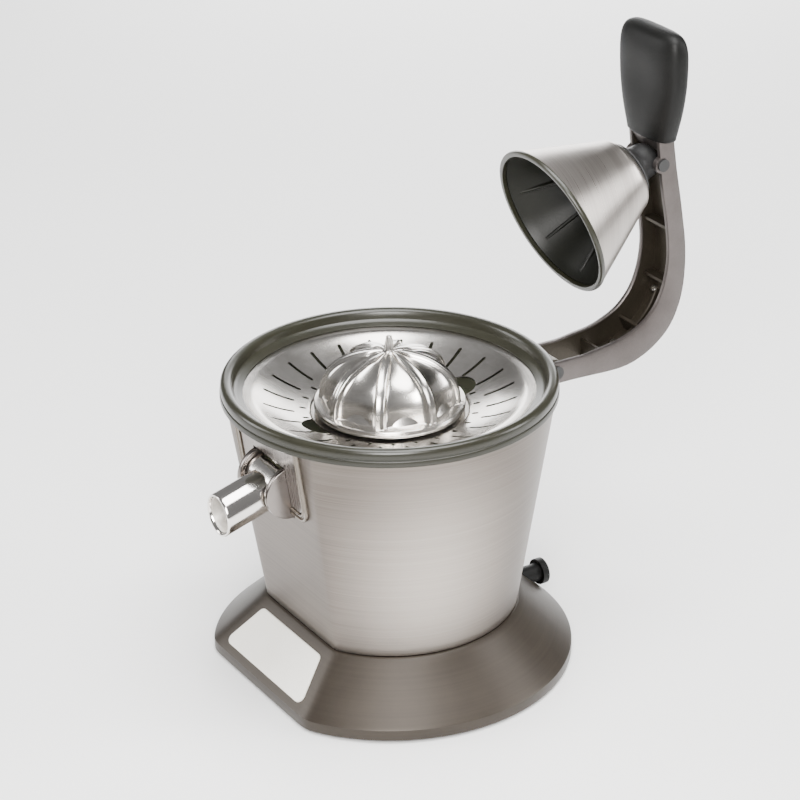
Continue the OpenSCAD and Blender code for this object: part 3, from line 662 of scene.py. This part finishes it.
def slot_tool(g, inner, outer, z):
    """A round-ended bar along X between two of the tree's inputs."""
    rod = g.node("GeometryNodeMeshCylinder", None, {
        "Vertices": 12, "Radius": g.math("MULTIPLY", g["Width"], 0.5), "Depth": 0.05})
    ends = []
    for key, s in ((inner, 0.5), (outer, -0.5)):
        x = g.math("ADD", g[key], g.math("MULTIPLY", g["Width"], s))
        ends.append(g.node("GeometryNodeTransform", None, {
            "Geometry": rod, "Translation": g.node("ShaderNodeCombineXYZ", None, {"X": x, "Z": z})}))
    both = g.node("GeometryNodeJoinGeometry", None, {"Geometry": ends})
    return g.node("GeometryNodeConvexHull", None, {0: both})


turn = slots.math("DIVIDE", pi, slots["Count"])
tools = slots.node("GeometryNodeJoinGeometry", None, {"Geometry": [
    slots.around(slot_tool(slots, "Long from", "Long to", slots["Middle"]), slots["Count"], turn),
    slots.around(slot_tool(slots, "Short from", "Short to", slots["Middle"]), slots["Count"], 0.0)]})
holes = slots.node("GeometryNodeMeshBoolean", {"operation": "DIFFERENCE", "solver": "EXACT"},
                   {"Mesh 1": slots["Geometry"], "Mesh 2": tools})
slots.end(holes)
slots.apply(sheet, Count=24, Width=0.0022, Long_from=0.058, Long_to=0.077,
            Short_from=0.0505, Short_to=0.0548, Middle=0.172, Seed=7, Material=PAINT["steel_polished"])

cut(sheet, half_window(-1))
cut(sheet, half_window(1))


def turned_normals(ob, line):
    """Normals of the smooth turned sheet, so that its holes leave no creases around them."""
    me = ob.data
    out = []

    def slope(r):
        """The line's slope at a radius, smoothed between its stretches."""
        for i in range(len(line) - 1):
            r1, r0 = line[i][0], line[i + 1][0]
            if r0 <= r <= r1 and r1 - r0 > 1e-6:
                near = (max(i - 1, 0), i, min(i + 1, len(line) - 2))
                s0 = [(line[k][1] - line[k + 1][1]) / (line[k][0] - line[k + 1][0]) for k in near]
                f = (r1 - r) / (r1 - r0)
                return (s0[0] + s0[1]) / 2 * (1 - f) + (s0[1] + s0[2]) / 2 * f
        return None

    for p in me.polygons:
        for li in p.loop_indices:
            v = me.vertices[me.loops[li].vertex_index].co * 1000
            r = hypot(v.x, v.y)
            s = slope(r)
            n = p.normal
            if s is not None and r > dish_foot:
                a = Vector((-s * v.x / r, -s * v.y / r, 1)).normalized()
                if n.dot(a) > 0.9:
                    n = a
                elif n.dot(a) < -0.9:
                    n = -a
            out.append(n)
    me.shade_smooth()
    me.normals_split_custom_set(out)


turned_normals(sheet, dish)
done(sheet, "housing", "steel_polished", "strainer")

# ---------------------------------------------------------------- reamer
crest = curve([(3.5, tip_z - 9.5), (6.5, tip_z - 9.4), (10, tip_z - 9.7), (16, tip_z - 10.8),
               (23, tip_z - 13.0), (29.5, tip_z - 16.2), (35, tip_z - 20.4), (39, tip_z - 25.4),
               (41.5, tip_z - 30.9), (42.8, tip_z - 36.6), (43.2, flange_top)], 3)
spike = [(0.001, 0), (1.3, 0.02), (1.7, 0.4), (2.4, 4), (3.1, 7.5), (3.5, 9.0)]    # radius, drop from the tip
FLUTE_STEPS = 10
RIBS, TURN = 8, radians(5)
half_sector = pi / RIBS
across = [0, 1.1, 1.9, 2.3, 2.7, 3.1, 3.5]       # millimetres from a rib's middle line
rise = [0.86, 0.88, 1.0, 0.99, 0.84, 0.3, 0.0]   # share of the rib's height there


def reamer_row(r, z, nr, nz, depth):
    """One ring: crest (r, z), its outward normal (nr, nz), and how deep the flute goes."""
    half = []
    for d, h in zip(across, rise):
        a = min(asin(min(d / max(r, 0.1), 0.9)), half_sector * (0.2 + 0.45 * d / 3.5) if r < 12 else 9)
        half.append((a, (1 - h) * min(depth, 2.4)))
    a0, d0 = half[-1]
    for k in range(1, FLUTE_STEPS + 1):
        u = k / FLUTE_STEPS
        a = a0 + (half_sector - a0) * u
        sag = (1 - (1 - u) ** 2) ** 0.8
        half.append((a, d0 + (depth - d0) * sag))
    ring = [(-a, s) for a, s in half[:0:-1]] + half[:-1]
    row = []
    for i in range(RIBS):
        for a, s in ring:
            t = TURN + i * 2 * half_sector + a
            q = r - nr * s
            row.append((q * cos(t), q * sin(t), z - nz * s))
    return row


rows = []
for rr, drop in spike:
    rows.append(reamer_row(rr, tip_z - drop, 1, 0, 0.0 if drop < 0.5 else 0.45))
for i in range(1, len(crest) - 1):
    (r0, z0), (r1, z1), (r2, z2) = crest[i - 1], crest[i], crest[i + 1]
    l = hypot(r2 - r0, z2 - z0)
    nr, nz = (z0 - z2) / l, (r2 - r0) / l
    k = i / (len(crest) - 1)
    depth = 0.5 + 6.0 * min(1, k * 1.15) ** 0.9
    if z1 < flange_top + 12:
        nz *= max(0, (z1 - flange_top) / 12)
    rows.append(reamer_row(r1, z1, nr, nz, depth))
rows.append(reamer_row(43.2, flange_top + 0.3, 1, 0, 6.2))
rows.append([(p[0] * 1.006, p[1] * 1.006, flange_top) for p in reamer_row(43.4, flange_top, 1, 0, 5.9)])
around = [atan2(p[1], p[0]) for p in rows[-1]]
rolled_rim = [(44.6, flange_top - 0.05), (45.6, flange_top - 0.3), (45.98, flange_top - 0.9),
              (46, flange_z + 1.2), (45.7, flange_z + 0.4), (44.8, flange_z)]
hollow = [(41, 0), (40.2, 1), (37, 8), (33, 16), (26, 24), (14, 27.6), (0.001, 27.6)]
for rr, zz in rolled_rim + [(rr, flange_z + up_) for rr, up_ in hollow]:
    rows.append([(rr * cos(a), rr * sin(a), zz) for a in around])
reamer = make("reamer_dome", *grid(rows), PAINT["steel_polished"], 34)
done(reamer, "reamer_unit", "steel_polished", "reamer")

# ---------------------------------------------------------------- spout panel, frame and housing
top = body_h / cos(lean) - 0.3      # up the slope, just under the ring


def panel_loop(w, low, high, r, n=10):
    """Outline 2w wide with its two lower corners rounded."""
    pts = [(-w, high), (-w, (high + low) / 2), (-w, low + r)]
    pts += [(-w + r - r * cos(pi / 2 * i / n), low + r - r * sin(pi / 2 * i / n)) for i in range(1, n + 1)]
    pts += [(w - r + r * sin(pi / 2 * i / n), low + r - r * cos(pi / 2 * i / n)) for i in range(n)]
    return pts + [(w, low + r), (w, (high + low) / 2), (w, high)]


# double rail: how far in from the outside, and how proud of the body
rail = [(0, -0.2), (0, 1.5), (0.25, 2.05), (0.8, 2.38), (1.5, 2.25), (2.0, 1.6), (2.5, 1.35), (3.0, 1.5),
        (3.5, 2.0), (4.1, 2.1), (4.6, 1.8), (4.9, 1.2), (5.0, 0.1)]
rows = []
for d, t in rail:
    loop = panel_loop(38 - d, top - 52 + d * 0.9, top - 0.6 * d, 8 - d * 0.4)
    rows.append([front(x, s, t) for x, s in loop])
frame_rail = make("panel_rail", *grid(rows, closed=True), rail_brown, 30)
done(cut(frame_rail, spout_gap("gap2")), "housing", "ring_black", "spout_frame")
smooth(frame_rail, 30)

rows = []
for d, t in ((0, 0.02), (0, 0.7), (0.2, 0.95), (0.6, 1.08), (1.2, 1.1)):
    loop = panel_loop(32.9 - d, top - 47.4 + d, top - 3.1 - d * 0.5, 6 - d * 0.6)
    rows.append([front(x, s, t) for x, s in loop])
panel = make("spout_panel_plate", *grid(rows), PAINT["panel_steel"], 30)
done(cut(panel, spout_gap("gap3")), "housing", "panel_steel", "spout_panel")
smooth(panel, 30)


# ---------------------------------------------------------------- spout housing: cheeks and well
def half_disc(r, back_y):
    """Side view of a cheek: a half disc about the barrel's axis with a straight back."""
    pts = [(spout_y + back_y, spout_z + r)]
    pts += [(spout_y - r * sin(pi * i / 24), spout_z + r * cos(pi * i / 24)) for i in range(25)]
    return pts + [(spout_y + back_y, spout_z - r)]


cheek = half_disc(17, 2.0)
cheek_in, cheek_out = 14.4, 18.3
cheeks = make("spout_cheeks", *join(prism(cheek, cheek_in, cheek_out), prism(cheek, -cheek_out, -cheek_in)),
              PAINT["panel_steel"], 30)
bevel(cheeks, 0.7, 3)
smooth(cheeks, 30)


def drill(name, r, ends, n, place):
    """A round tool between two places along its own axis."""
    return make(name, *lathe([(r, ends[0]), (r, ends[1])], n, place, closed=False), [])


def inwards(start):
    """Turns a drill's axis to run level into the body from start behind the barrel's axis."""
    return lambda p: (p[0], spout_y + start + p[2], spout_z + p[1])


well = block("well", (-cheek_out, spout_y + 1.9, spout_z - 17), (cheek_out, spout_y + 17, spout_z + 17))
well.data.materials.append(PAINT["panel_steel"])
cut(well, drill("bore", 9, (0, 60), 32, inwards(-10)),
    drill("way", 14.35, (-14.38, 14.38), 48, lambda p: (p[2], spout_y + p[0], spout_z + p[1])))
smooth(well, 30)
done(well, "housing", "panel_steel")
done(cheeks, "housing", "panel_steel", "spout_housing")

# ---------------------------------------------------------------- spout: barrel and slanted tube
slope = radians(16)


def on_spout(p):
    """From the spout's own frame, Z along the tube, to the part's."""
    x, y, z = p
    return (x, spout_y - cos(slope) * z - sin(slope) * y, spout_z - sin(slope) * z + cos(slope) * y)


def tube(profile, n=72):
    """Turned rows along the spout; the third number is how far a row follows the slanted mouth."""
    rows = []
    for r, z, k in profile:
        row = []
        for j in range(n):
            a = 2 * pi * j / n
            y = r * sin(a)
            row.append(on_spout((r * cos(a), y, z + k * (-2.58 - tan(radians(14)) * y))))
        rows.append(row)
    return grid(rows, closed=True)


bore_r = 10.8
tube_wall = [(12.9, 9, 0), (12.95, 18, 0), (12.95, 30, 0), (12.98, 40, 0.6), (13.0, 43.4, 1),
             (12.95, 44.3, 1), (12.6, 44.85, 1), (12.1, 44.95, 1), (11.6, 44.7, 1), (11.2, 43.8, 1),
             (11.0, 41, 0.7), (bore_r, 30, 0), (bore_r, 9, 0)]
spout = make("spout_tube", *tube(tube_wall), PAINT["chrome_spout"], 35)
done(spout, "spout_unit", "chrome_spout", "spout")

half_barrel = [(8, 13.9), (12.6, 13.9), (13.5, 13.7), (13.95, 13.1), (13.98, 6)]     # radius, x
barrel_line = [(r, -x) for r, x in half_barrel] + half_barrel[::-1]
rows = [[(x, spout_y + u, spout_z + v) for u, v in circle(r, 64)] for r, x in barrel_line]
barrel = make("spout_barrel", *grid(rows), PAINT["chrome_spout"], 35)
cut(barrel, drill("way2", bore_r, (0, 60), 40, on_spout), drill("way3", 8.5, (0, 40), 32, inwards(-1)))
smooth(barrel, 35)
done(barrel, "spout_unit", "chrome_spout")

# painted light: a pale, near white lining inside the spout's bore, brightening the inside of the tube where
# shade would fall
bright = Finish("bore lining painted bright", Metallic=0.75, Roughness=0.42)
cloudy = bright.noise((90, 90, 90), 3, 0.5, 1.6)
bright.feed(Base_Color=bright.mix(cloudy, srgb(226, 221, 214), srgb(246, 243, 238)))
bore_wall = [(10.78, 14, 0), (10.78, 40, 0.6), (10.78, 43.2, 1), (10.5, 43.2, 1), (10.45, 40, 0.6),
             (10.45, 14, 0)]
bore_sleeve = make("spout_bore", *tube(bore_wall), bright.m, 35)
done(bore_sleeve, "spout_unit", "chrome_spout")

# ---------------------------------------------------------------- lever
# outer and inner edge of the arm seen from the side, from the hinge's axis
arm_out = curve([(0, -8), (12, -8.2), (26, -8.9), (38.2, -9.6), (50.4, -9.6), (61.7, -7.5), (74.7, -1.5),
                 (86, 8), (93, 20), (96.9, 34), (98.2, 50), (97.5, 66), (95.1, 82), (92.4, 98),
                 (89.4, 114), (86.9, 130), (86.1, 136)], 4)
arm_in = curve([(0, 6.6), (12, 6.4), (22, 6.3), (33, 7.6), (45.1, 9), (55.6, 12), (66.9, 17.5),
                (75.6, 26), (80.8, 36), (83.8, 47.5), (84.8, 60), (83.7, 73), (81.8, 86), (79.4, 99),
                (77.1, 113), (75, 130), (74.3, 136)], 4)
HALF, HALF_IN = 16.0, 12.5          # half the arm's width outside, and between its cheeks


def arm(x, o, i, u):
    """Point at x across the arm and share u from its outer to its inner edge."""
    return (x, hinge_y + o[0] + (i[0] - o[0]) * u, hinge_z + o[1] + (i[1] - o[1]) * u)


def cheek_rows(side):
    """Cross sections of one cheek, from the round end about the hinge to the neck."""
    rows = []
    for k in range(7):
        a = pi / 2 * k / 6
        y, z = -8 * cos(a), 8 * sin(a)
        rows.append(((y, -z), (y, z * 0.85)))
    rows += list(zip(arm_out[1:], arm_in[1:]))
    out = []
    for o, i in rows:
        l = max(hypot(i[0] - o[0], i[1] - o[1]), 0.4)
        e = min(1.1, l * 0.45)      # the rounding of its edges
        pts = [(HALF_IN, 0), (HALF - e, 0), (HALF - e * 0.3, e * 0.3), (HALF, e), (HALF, l / 2),
               (HALF, l - e), (HALF - e * 0.3, l - e * 0.3), (HALF - e, l), (HALF_IN + e * 0.6, l),
               (HALF_IN + 0.1, l - e * 0.5), (HALF_IN, l - e), (HALF_IN, l / 2)]
        out.append([arm(side * x, o, i, q / l) for x, q in pts])
    return out


parts, marks = [], []


def add(part, dark=()):
    """Adds a part of the casting; dark lists which sides of each ring face the channel."""
    parts.append(part)
    faces = len(part[1])
    if dark == "all":
        marks.extend([1] * faces)
    else:
        sides = len(part[1][-1])
        marks.extend(1 if k < faces - 2 and k % sides in dark else 0 for k in range(faces))


for side in (-1, 1):
    add(grid(cheek_rows(side)), dark=(10, 11))
web = ((-HALF_IN, 0), (0, 0), (HALF_IN, 0), (HALF_IN, 0.21), (0, 0.19), (-HALF_IN, 0.21))
add(grid([[arm(x, o, i, q) for x, q in web] for o, i in zip(arm_out[16:], arm_in[16:])]), dark=(3, 4))
# closed neck under the handle
neck_side = [(78.4, 128), (87.0, 128), (85.9, 135.9), (74.5, 135.9)]
add(prism(neck_side, -HALF_IN - 0.5, HALF_IN + 0.5, (hinge_y, hinge_z)))
# ribs across the channel
for quad in ([(38.3, -8.8), (40.2, -8.8), (40.2, 3), (38.3, 3)],
             [(73, -0.6), (74.6, 0.4), (69.5, 12), (67.8, 11)],
             [(87, 36), (96, 36), (96, 38), (87, 38)],
             [(86, 74), (94.4, 74), (94.4, 76), (86, 76)]):
    add(prism(quad, -HALF_IN - 0.2, HALF_IN + 0.2, (hinge_y, hinge_z)), dark="all")
# ears round the cone's pin
for side in (-1, 1):
    add(prism(circle(5.45, 32), side * HALF_IN, side * (HALF - 0.15), (pivot_y, pivot_z)))
# long middle rib along the channel, which ends before the cone's boss
middle_rib = ((-1, 0.15), (-0.8, 0.5), (0.8, 0.5), (1, 0.15))
add(grid([[arm(x, o, i, q) for x, q in middle_rib] for o, i in list(zip(arm_out, arm_in))[17:34]]), dark="all")
arm_ob = make("lever_casting", *join(*parts), [PAINT["arm_cast"], channel_dark], 30, marks)
done(arm_ob, "lever", "arm_cast", "lever_arm")


# ---------------------------------------------------------------- screws in the channel
def screw(centre, axis, r, h):
    """A domed screw head with a cross recess."""
    axis = Vector(axis).normalized()
    u = axis.orthogonal().normalized()
    w = axis.cross(u)
    n = 32
    rows = []
    for rr, hh in ((0.999, 0.0), (1, 0.45), (0.93, 0.75), (0.75, 0.95), (0.62, 1)):
        rows.append([tuple(Vector(centre) + u * a + w * b + axis * (hh * h)) for a, b in circle(rr * r, n)])
    for rr, hh in ((0.5, h), (0.42, h * 0.45)):
        row = []
        for j in range(n):
            a = 2 * pi * j / n
            arm_of_cross = abs(cos(2 * a)) ** 3
            q = r * (0.16 + (rr - 0.16) * arm_of_cross)
            row.append(tuple(Vector(centre) + u * (q * cos(a)) + w * (q * sin(a)) + axis * hh))
        rows.append(row)
    return grid(rows)


heads = []
for k in (20, 33):
    edge, across_arm = Vector(arm(0, arm_out[k], arm_in[k], 0)), Vector(arm(0, arm_out[k], arm_in[k], 1))
    seat = edge.lerp(across_arm, 0.2)
    heads.append(screw((-7, seat.y, seat.z), across_arm - edge, 2.6, 1.6))
ob = make("channel_screws", *join(*heads), PAINT["screw_steel"], 40)
done(ob, "lever", "screw_steel")

# ---------------------------------------------------------------- handle: a paddle, narrow at the neck
g_lo, g_hi = box("handle_grip")
gy = (g_lo[1] + g_hi[1]) / 2
g_len = g_hi[2] - g_lo[2]
g_w, g_t = g_hi[0] - 0.05, (g_hi[1] - g_lo[1]) / 2 - 0.05
SQUARE = 2.8                        # 2 is an ellipse, more is squarer
# shares of its length, half width and half thickness
paddle = curve([(0.0, 0.69, 0.70), (0.012, 0.715, 0.74), (0.05, 0.735, 0.77), (0.14, 0.80, 0.83),
                (0.3, 0.905, 0.90), (0.5, 0.985, 0.96), (0.72, 1.0, 1.0), (0.84, 0.985, 0.95),
                (0.92, 0.93, 0.82), (0.965, 0.84, 0.64), (0.99, 0.70, 0.40), (1.0, 0.5, 0.18)], 4)
rows = []
for k, fw, ft in paddle:
    row = []
    for c, n in circle(1, 72):
        q = (abs(c) ** SQUARE + abs(n) ** SQUARE) ** (-1 / SQUARE)
        scoop = 1.6 * exp(-((k - 0.55) / 0.22) ** 2) * max(0, -n) ** 3
        row.append((g_w * fw * q * c, gy + g_t * ft * q * n + scoop, g_lo[2] + 0.02 + (g_len - 0.05) * k))
    rows.append(row)
grip = make("handle_paddle", *grid(rows), PAINT["rubber_black"], 45)
done(grip, "lever", "rubber_black", "handle_grip", "handle_screws")

# ---------------------------------------------------------------- hinge bracket
bl, bh = box("hinge_bracket")
ear = [(7.5 * sin(pi * i / 20), 7.5 * cos(pi * i / 20)) for i in range(21)] + [(-16.8, -7.5), (-14.6, 7.5)]
knuckle = prism(ear, -HALF_IN + 0.5, HALF_IN - 0.5, (hinge_y, hinge_z))
bracket_face = hinge_y - 8.6
bracket_half = 20


def bracket_row(d, t):
    """The flange's outline, d inside its edge: on the body for t = 0, else t under its face."""
    low, high, w = bl[2] + d, bh[2] - d * 0.2, bracket_half - d
    along, upright = [i / 28 for i in range(29)], [i / 9 for i in range(1, 9)]
    row = [(-w + 2 * w * k, low) for k in along] + [(w, low + (high - low) * k) for k in upright]
    row += [(w - 2 * w * k, high) for k in along] + [(-w, high - (high - low) * k) for k in upright]
    out = []
    for x, z in row:
        r = seam_r + (body_r - seam_r) * (z - seam_z) / body_h
        on_body = sqrt(max(r * r - x * x, 0)) + 0.06
        out.append((x, bracket_face - t if t else on_body, z))
    return out


flange = grid([bracket_row(d, t) for d, t in ((0, 0), (0, 1.0), (0.3, 0.3), (1.0, 0.001))])
bracket = make("hinge_block", *join(knuckle, flange), PAINT["bracket_grey"], 30)
done(bracket, "housing", "bracket_grey", "hinge_bracket")

heads = [screw((x, bracket_face, bl[2] + 6), (0, 1, 0), 4, 1.8) for x in (-13, 13)]
ob = make("bracket_screw_heads", *join(*heads), PAINT["screw_steel"], 40)
done(ob, "housing", "screw_steel", "bracket_screws")

# pin ends, each with a sunk middle: inwards from its radius, outwards from the arm's side
pin_line = [(0, -0.2), (0, 0.7), (0.4, 1.1), (1.1, 1.15), (1.5, 0.5), (1.7, 0.3), (2.2, 0.35)]
ends = []
for y0, z0, r0 in ((hinge_y, hinge_z, 4.6), (pivot_y, pivot_z, 4.0)):
    for side in (-1, 1):
        line = [(r0 - d, HALF + x) for d, x in pin_line] + [(0.001, HALF + 0.4)]
        ends.append(grid([[(side * x, y0 + u, z0 + v) for u, v in circle(r, 40)] for r, x in line]))
ob = make("pin_ends", *join(*ends), PAINT["black_plastic"], 35)
done(ob, "lever", "shaft_steel")

# ---------------------------------------------------------------- press cone
mouth = (pivot_y - cone_reach * sin(cone_a), pivot_z - cone_reach * cos(cone_a))


def on_cone(p):
    """From the cone's own frame, Z from its mouth to its pin, to the part's."""
    x, y, z = p
    return (x, mouth[0] + y * cos(cone_a) + z * sin(cone_a), mouth[1] - y * sin(cone_a) + z * cos(cone_a))


R, r, L, w = 49.0, 24.0, cone_len, 1.0      # mouth and shoulder radius, length, wall
outer = [(R, 3.0)] + [(R + (r + 1.5 - R) * k / 10, 3 + (L - 10) * k / 10) for k in range(1, 10)]
outer += curve([(r + 1.5, L - 7), (r + 0.6, L - 4.6), (r - 1.2, L - 2.4), (r - 4, L - 0.8),
                (r - 7.5, L - 0.1), (r - 10, L), (9, L)], 3)
inner = [(a - w * (0.95 if c < L - 7 else 0.6), c - (0 if c < L - 7 else w * 0.8)) for a, c in outer]
inner[0] = (R - w, 3.0)
inner[-1] = (9, L - w)
cone = make("cone_shell_steel", *lathe(outer + inner[::-1], 128, on_cone), cone_steel, 30)
done(cone, "press_cone", "steel_body", "cone_shell")

q = R - w - 0.08        # the liner's radius at the mouth, at its floor, and its floor's height
u = r - w - 0.1
l = L - w - 6
back_face = [(q, 3.1), (u + 1.5, l), (14, l), (8, l), (0.001, l)]
boss = [(0.001, l - 5.2), (5.0, l - 5.2), (6.4, l - 4.9), (7, l - 4.2), (7.2, l - 1.9)]
floor_face = [(15, l - 1.8), (19, l - 1.9), (u - 1.6, l - 2.6), (u - 0.9, l - 4.2)]
wall_face = [(u - 0.9 + (q - 1.8 - u + 0.9) * k / 8, l - 4.2 + (3.6 - l + 4.2) * k / 8) for k in range(1, 8)]
edge_face = [(q - 1.8, 3.6), (q - 1.7, 3.15)]
liner_line = back_face + boss + floor_face + wall_face + edge_face
liner = make("cone_liner_moulding", *lathe(liner_line, 128, on_cone), liner_olive, 30)
done(liner, "press_cone", "ring_black", "cone_liner")

neck = [(r_, L + z) for r_, z in (
    (0.001, 0.06), (17.5, 0.06), (18.6, 0.5), (18.4, 1.4), (15.6, 3.2), (13.2, 5.0), (11.9, 7.2), (11.4, 10),
    (11.2, 13), (10.6, 15.5), (9.0, 18), (6.0, 20), (0.001, 20.8))]
ob = make("cone_neck", *lathe(neck, 64, on_cone, closed=False), PAINT["black_plastic"], 35)
done(ob, "press_cone", "black_plastic", "cone_boss")

# ribs inside the cone, repeated round its axis
repeat = Nodes("ribs round an axis", {
    "Count": ("Int", 8), "Start": ("Float", 0.0), "Tilt": ("Float", 0.0),
    "Offset": ("Vector", (0, 0, 0)), "Seed": ("Int", 3), "Material": ("Material", None)})
many = repeat.around(repeat["Geometry"], repeat["Count"], repeat["Start"])
tip = repeat.node("ShaderNodeCombineXYZ", None, {"X": repeat["Tilt"]})
repeat.end(repeat.node("GeometryNodeTransform", None,
                       {"Geometry": many, "Translation": repeat["Offset"], "Rotation": tip}))
rib = []
for k in range(9):
    f = k / 8
    z = 9 + (l - 2.5 - 9) * f
    root = q - 1.8 + (u - 0.9 - q + 1.8) * (z - 3.6) / (l - 7.8)
    ridge = root - 0.3 - 2.7 * min(1, f * 1.6) ** 0.7
    rib.append([(root + 0.5, -1.3, z), (ridge + 0.5, -1.0, z), (ridge, -0.5, z),
                (ridge, 0.5, z), (ridge + 0.5, 1.0, z), (root + 0.5, 1.3, z)])
ribs = make("cone_ribs", *grid(rib), liner_olive, 40)
repeat.apply(ribs, Count=8, Start=0.0, Tilt=-cone_a, Offset=(0, mouth[0] / 1000, mouth[1] / 1000),
             Seed=3, Material=liner_olive)
smooth(ribs, 40)
done(ribs, "press_cone", "ring_black")

lip_line = [(R - 2.8, 0.4), (R - 2.5, 0.1), (R - 1.6, 0.0), (R - 0.3, 0.0), (R + 0.35, 0.35), (R + 0.6, 1.0),
            (R + 0.6, 2.2), (R + 0.35, 2.8), (R - 0.1, 2.95), (R - 2.4, 2.95), (R - 2.8, 2.7)]
lip = make("cone_lip", *lathe(lip_line, 128, on_cone), PAINT["ring_black"], 35)
done(lip, "press_cone", "ring_black", "cone_rim")

# ---------------------------------------------------------------- nodes carried over get their finishes
# the juice bowl takes the lightened olive, painted light in place of its slot's dark colour
special = {"juice_bowl": bowl_olive_painted_light, "hinge_pin": PAINT["black_plastic"], "cone_pin": PAINT["black_plastic"]}
for name, ob in frame["nodes"].items():
    for material_slot in ob.material_slots:
        material_slot.material = special.get(name) or PAINT[slot_of[name]]

# ---------------------------------------------------------------- floor and light
f = Finish("pale floor", Roughness=0.75)
soft = f.noise((3, 3, 3), 3, 0.5, 1.4)
f.feed(Base_Color=f.mix(soft, srgb(249, 249, 248), srgb(252, 252, 252)))
me = bpy.data.meshes.new("floor")
me.from_pydata([(-6, -6, 0), (6, -6, 0), (6, 6, 0), (-6, 6, 0)], [], [(0, 1, 2, 3)])
me.materials.append(f.m)
ground = bpy.data.objects.new("floor", me)
bpy.context.scene.collection.objects.link(ground)

world = bpy.data.worlds.new("studio")
bpy.context.scene.world = world
world.use_nodes = True
world.node_tree.nodes["Background"].inputs[0].default_value = (0.95, 0.95, 0.96, 1)
world.node_tree.nodes["Background"].inputs[1].default_value = 0.28


def lamp(name, at, to, size, power, tint=(1, 1, 1)):
    data = bpy.data.lights.new(name, "AREA")
    data.shape, data.size, data.size_y, data.energy, data.color = "RECTANGLE", size[0], size[1], power, tint
    ob = bpy.data.objects.new(name, data)
    bpy.context.scene.collection.objects.link(ob)
    ob.location = at
    ob.rotation_euler = (Vector(to) - Vector(at)).to_track_quat("-Z", "Y").to_euler()


mid = (0, 0, 0.15)
lamp("key", (1.25, -0.75, 1.1), mid, (0.7, 0.9), 58, (1, 0.985, 0.965))
lamp("left fill", (-1.1, -1.2, 0.8), mid, (0.5, 0.9), 16)
lamp("top", (0.2, 0.1, 1.8), mid, (1.2, 1.2), 66)
lamp("rim", (0.9, 1.5, 0.9), mid, (0.5, 1.0), 20)
lamp("back left", (-1.35, 1.0, 0.5), mid, (1.1, 0.8), 20)

bpy.context.view_layer.update()
